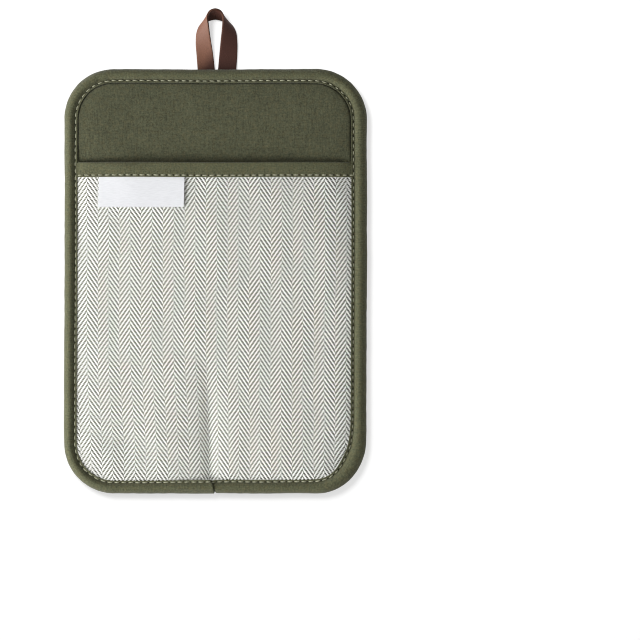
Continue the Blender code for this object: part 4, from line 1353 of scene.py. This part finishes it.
class POTHOLDER_OT_leather_loop(bpy.types.Operator):
    """Make the leather strap, its edge turned up round the arch"""
    bl_idname = "pot_holder.leather_loop"
    bl_label = "Leather Loop"

    def execute(self, context):
        sizes, _, colours, _ = of_scene(context)
        shape = PadShape(sizes)
        rows = smooth_rows(STRAP_SECTIONS, STRAP_STEPS) * MM
        share = np.linspace(0.0, 1.0, STRAP_COLUMNS + 1)[None, :, None]
        inner, outer = rows[:, None, :3], rows[:, None, 3:]
        points = mix(outer, inner, share)
        x, y = shape.sewn(points[..., 0], points[..., 1])
        strap = add_sheet("leather_loop", np.stack([x, y, points[..., 2]], axis=-1))
        materials = [leather_grain(colours),
                     leather_flesh("leather nap", colours.flesh, 0.12 * MM),
                     leather_flesh("leather edge", [0.45 * part for part in colours.leather], 0.05 * MM)]
        for material in materials:
            strap.data.materials.append(material)
        solid = strap.modifiers.new("thickness", "SOLIDIFY")
        solid.thickness = sizes.strap_thickness
        solid.offset = 0.0
        solid.material_offset = 1
        solid.material_offset_rim = 2
        bevel = strap.modifiers.new("worn edges", "BEVEL")
        bevel.width = STRAP_WEAR
        bevel.segments = 2
        bevel.limit_method = "ANGLE"
        bevel.angle_limit = math.radians(STRAP_WEAR_FROM)
        settle(strap)
        finish_piece(strap, [], "leather", "hanging_loop")
        return {"FINISHED"}


def stitch_tree():
    """Node tree that lays stitches along a path, evenly and a little askew."""
    graph, (path, count, run, width, rise, up, seed, finish) = open_tree("lay stitches", (
        ("Path", "Geometry"), ("Count", "Int"), ("Length", "Float"), ("Width", "Float"),
        ("Rise", "Float"), ("Up", "Vector"), ("Seed", "Int"), ("Finish", "Material")))

    ball = graph.read("GeometryNodeMeshUVSphere", values={"Segments": 8, "Rings": 7, "Radius": 0.5})
    turned = graph.read("GeometryNodeTransform",
                        values={"Geometry": ball, "Rotation": (0.0, math.pi / 2, 0.0)})
    size = graph.read("ShaderNodeCombineXYZ", values={0: run, 1: width, 2: width})
    stretched = graph.read("GeometryNodeTransform", values={"Geometry": turned, "Scale": size})
    x = graph.read("ShaderNodeSeparateXYZ",
                   values={0: graph.read("GeometryNodeInputPosition")}, output="X")
    share = x / run * 2.0
    bend = graph.read("ShaderNodeCombineXYZ", values={2: share * share * rise * -1.0})
    bent = graph.read("GeometryNodeSetPosition", values={"Geometry": stretched, "Offset": bend})
    side = graph.read("ShaderNodeSeparateXYZ",
                      values={0: graph.read("GeometryNodeInputPosition")}, output="Y")
    ply = share * 1.6 + side / width * 1.1
    marked = graph.read("GeometryNodeStoreNamedAttribute", {"data_type": "FLOAT", "domain": "POINT"},
                        {"Geometry": bent, "Name": "ply", "Value": ply})

    curve = graph.read("GeometryNodeMeshToCurve", values={"Mesh": path})
    spaced = graph.read("GeometryNodeResampleCurve", {"mode": "COUNT"}, {"Curve": curve, "Count": count})
    tangent = graph.read("GeometryNodeInputTangent")
    askew = graph.read("FunctionNodeRandomValue", {"data_type": "FLOAT_VECTOR"},
                       {"Min": [-part for part in STITCH_ASKEW], "Max": STITCH_ASKEW, "Seed": seed})
    heading = graph.read("ShaderNodeVectorMath", {"operation": "ADD"}, {0: tangent, 1: askew})
    turn = graph.read("FunctionNodeAxesToRotation", {"primary_axis": "Z", "secondary_axis": "X"},
                      {"Primary Axis": up, "Secondary Axis": heading})
    uneven = graph.read("FunctionNodeRandomValue", {"data_type": "FLOAT_VECTOR"},
                        {"Min": STITCH_SMALLEST, "Max": STITCH_LARGEST, "Seed": seed + 1.0})
    laid = graph.read("GeometryNodeInstanceOnPoints",
                      values={"Points": spaced, "Instance": marked, "Rotation": turn, "Scale": uneven})
    return close_tree(graph, laid, finish)


def at_half_beats(points, beats):
    """The places on a path half way from each whole beat to the next."""
    middles = np.arange(int(round(beats[-1]))) + 0.5
    return np.stack([np.interp(middles, beats, part) for part in points.T], axis=1)


class POTHOLDER_OT_stitches(bpy.types.Operator):
    """Lay the rows of stitches on the tapes and the strap's ends"""
    bl_idname = "pot_holder.stitches"
    bl_label = "Stitches"

    def execute(self, context):
        sizes, stitches, colours, _ = of_scene(context)
        shape = PadShape(sizes)
        tree = stitch_tree()
        thread = sewing_thread(colours)
        face, beats, _ = tape_surface(shape, stitches.pitch)
        for name, row, up in (("front_stitches", FRONT_STITCH_ROW, 1.0),
                              ("back_stitches", BACK_STITCH_ROW, -1.0)):
            path = face[:, row * SECTION_STEPS].copy()
            deep = ease(path[:, 0], *STITCH_TURN_X) if up > 0.0 else 0.0
            path[:, 2] += up * mix(STITCH_LIFT, STITCH_LIFT_RIGHT, deep)
            self.lay(name, at_half_beats(path, beats), up, tree, thread, stitches, stitches.run)
        path = self.band_path(shape)
        beats = beats_along(path[:, 0], path[:, 1], stitches.pitch)
        self.lay("mouth_stitches", at_half_beats(path, beats), 1.0, tree, thread, stitches, stitches.run)
        for name, ends in (("loop_stitches_left", LOOP_STITCHES_LEFT),
                           ("loop_stitches_right", LOOP_STITCHES_RIGHT)):
            path = np.array([(end, LOOP_STITCH_Y, LOOP_STITCH_Z) for end in ends])
            beats = beats_along(path[:, 0], path[:, 1], stitches.loop_pitch)
            self.lay(name, at_half_beats(path, beats), -1.0, tree, thread, stitches, LOOP_STITCH_LENGTH)
        return {"FINISHED"}

    @staticmethod
    def lay(name, middles, up, tree, thread, stitches, run):
        edges = [(index, index + 1) for index in range(len(middles) - 1)]
        row = add_object(name, middles, edges=edges)
        run_tree(row, tree, Count=len(middles), Length=run, Width=stitches.width, Rise=stitches.rise,
                 Up=Vector((0.0, 0.0, up)), Seed=stitches.seed, Finish=thread)
        finish_piece(row, [], "olive_tape")

    @staticmethod
    def band_path(shape):
        sizes = shape.sizes
        end_x = band_end(shape)
        xs = np.linspace(-end_x, end_x, BAND_PATH_POINTS)
        y = sizes.mouth_y - sizes.band_width + BAND_STITCH_Y
        z = np.array([mouth_section(shape, x)[BAND_STITCH_ROW][1] for x in xs])
        return np.stack([*shape.sewn(xs, np.full(len(xs), y)), z + STITCH_LIFT], axis=1)


# ---------------------------------------------------------------- stage

class POTHOLDER_OT_stage(bpy.types.Operator):
    """Set up the pale table, the soft light and the camera above it"""
    bl_idname = "pot_holder.stage"
    bl_label = "Stage"

    def execute(self, context):
        stage = context.scene.pot_holder_stage
        table = self.add_table()
        key = self.add_light("key", KEY_PLACE, KEY_SIZE, stage.key_power)
        self.light_table(key, table, "EXCLUDE")
        rim = self.add_light("rim", RIM_PLACE, RIM_SIZE, stage.rim_power)
        self.light_table(rim, table, "EXCLUDE")
        top = self.add_light("table light", TABLE_LIGHT_PLACE, TABLE_LIGHT_SIZE, stage.table_power)
        self.light_table(top, table, "INCLUDE")
        self.add_surroundings(context.scene, stage.fill)
        camera = bpy.data.cameras.new("camera")
        camera.lens = camera.sensor_width * stage.camera_height / stage.frame_width
        camera.clip_start = CLIP_START
        camera.clip_end = CLIP_END
        seen_from = bpy.data.objects.new("camera", camera)
        seen_from.location = (stage.frame_x, stage.frame_y, stage.camera_height)
        context.scene.collection.objects.link(seen_from)
        context.scene.camera = seen_from
        context.scene.view_settings.view_transform = "Standard"
        context.scene.cycles.filter_width = PIXEL_FILTER
        return {"FINISHED"}

    @staticmethod
    def add_table():
        corners = [(x * TABLE_REACH, y * TABLE_REACH, -TABLE_BELOW)
                   for x, y in ((-1, -1), (1, -1), (1, 1), (-1, 1))]
        table = add_object("table", corners, [(0, 1, 2, 3)])
        paint = Finish("white table", base_color=(0.6, 0.6, 0.6, 1.0), roughness=0.9,
                       emission_color=(1.0, 1.0, 1.0, 1.0), emission_strength=0.54)
        grain = paint.noise(paint.place(), 0.4 * MM, detail=2.0)
        paint.relief(grain, 0.01 * MM)
        table.data.materials.append(paint.material)
        table.visible_diffuse = False
        return table

    @staticmethod
    def light_table(lamp, table, state):
        """Let a lamp light the table alone, or everything but the table."""
        lit = bpy.data.collections.new("lit by " + lamp.name)
        lit.objects.link(table)
        lit.collection_objects[0].light_linking.link_state = state
        lamp.light_linking.receiver_collection = lit

    @staticmethod
    def add_light(name, place, size, power):
        light = bpy.data.lights.new(name, "AREA")
        light.shape = "RECTANGLE"
        light.size, light.size_y = size
        light.energy = power
        lamp = bpy.data.objects.new(name, light)
        lamp.location = place
        lamp.rotation_euler = (-Vector(place)).to_track_quat("-Z", "Y").to_euler()
        bpy.context.scene.collection.objects.link(lamp)
        return lamp

    @staticmethod
    def add_surroundings(scene, strength):
        world = bpy.data.worlds.new("surroundings")
        world.use_nodes = True
        world.node_tree.nodes["Background"].inputs["Color"].default_value = (1.0, 1.0, 1.0, 1.0)
        world.node_tree.nodes["Background"].inputs["Strength"].default_value = strength
        scene.world = world


class POTHOLDER_PT_finish(bpy.types.Panel):
    """Settings and makers of the pot holder's pieces"""
    bl_idname = "POTHOLDER_PT_finish"
    bl_label = "Pot Holder"
    bl_space_type = "VIEW_3D"
    bl_region_type = "UI"
    bl_category = "Pot Holder"

    def draw(self, context):
        for group in of_scene(context):
            box = self.layout.box()
            for name in group.bl_rna.properties.keys():
                if name not in {"rna_type", "name"}:
                    box.prop(group, name)
        for operator in OPERATORS:
            self.layout.operator(operator.bl_idname)


GROUPS = {
    "pot_holder_sizes": PotHolderSizes,
    "pot_holder_stitches": PotHolderStitches,
    "pot_holder_colours": PotHolderColours,
    "pot_holder_stage": PotHolderStage,
}
OPERATORS = (
    POTHOLDER_OT_stage,
    POTHOLDER_OT_cotton_front,
    POTHOLDER_OT_pocket,
    POTHOLDER_OT_label,
    POTHOLDER_OT_mouth_tape,
    POTHOLDER_OT_silicone_back,
    POTHOLDER_OT_edge_tape,
    POTHOLDER_OT_leather_loop,
    POTHOLDER_OT_stitches,
)


def register():
    for group in GROUPS.values():
        bpy.utils.register_class(group)
    for name, group in GROUPS.items():
        setattr(bpy.types.Scene, name, bpy.props.PointerProperty(type=group))
    for operator in OPERATORS:
        bpy.utils.register_class(operator)
    bpy.utils.register_class(POTHOLDER_PT_finish)


def unregister():
    bpy.utils.unregister_class(POTHOLDER_PT_finish)
    for operator in reversed(OPERATORS):
        bpy.utils.unregister_class(operator)
    for name in reversed(list(GROUPS)):
        delattr(bpy.types.Scene, name)
        bpy.utils.unregister_class(GROUPS[name])


def main():
    register()
    bpy.ops.pot_holder.stage()
    bpy.ops.pot_holder.cotton_front()
    bpy.ops.pot_holder.pocket()
    bpy.ops.pot_holder.label()
    bpy.ops.pot_holder.mouth_tape()
    bpy.ops.pot_holder.silicone_back()
    bpy.ops.pot_holder.edge_tape()
    bpy.ops.pot_holder.leather_loop()
    bpy.ops.pot_holder.stitches()


if __name__ == "__main__":
    main()
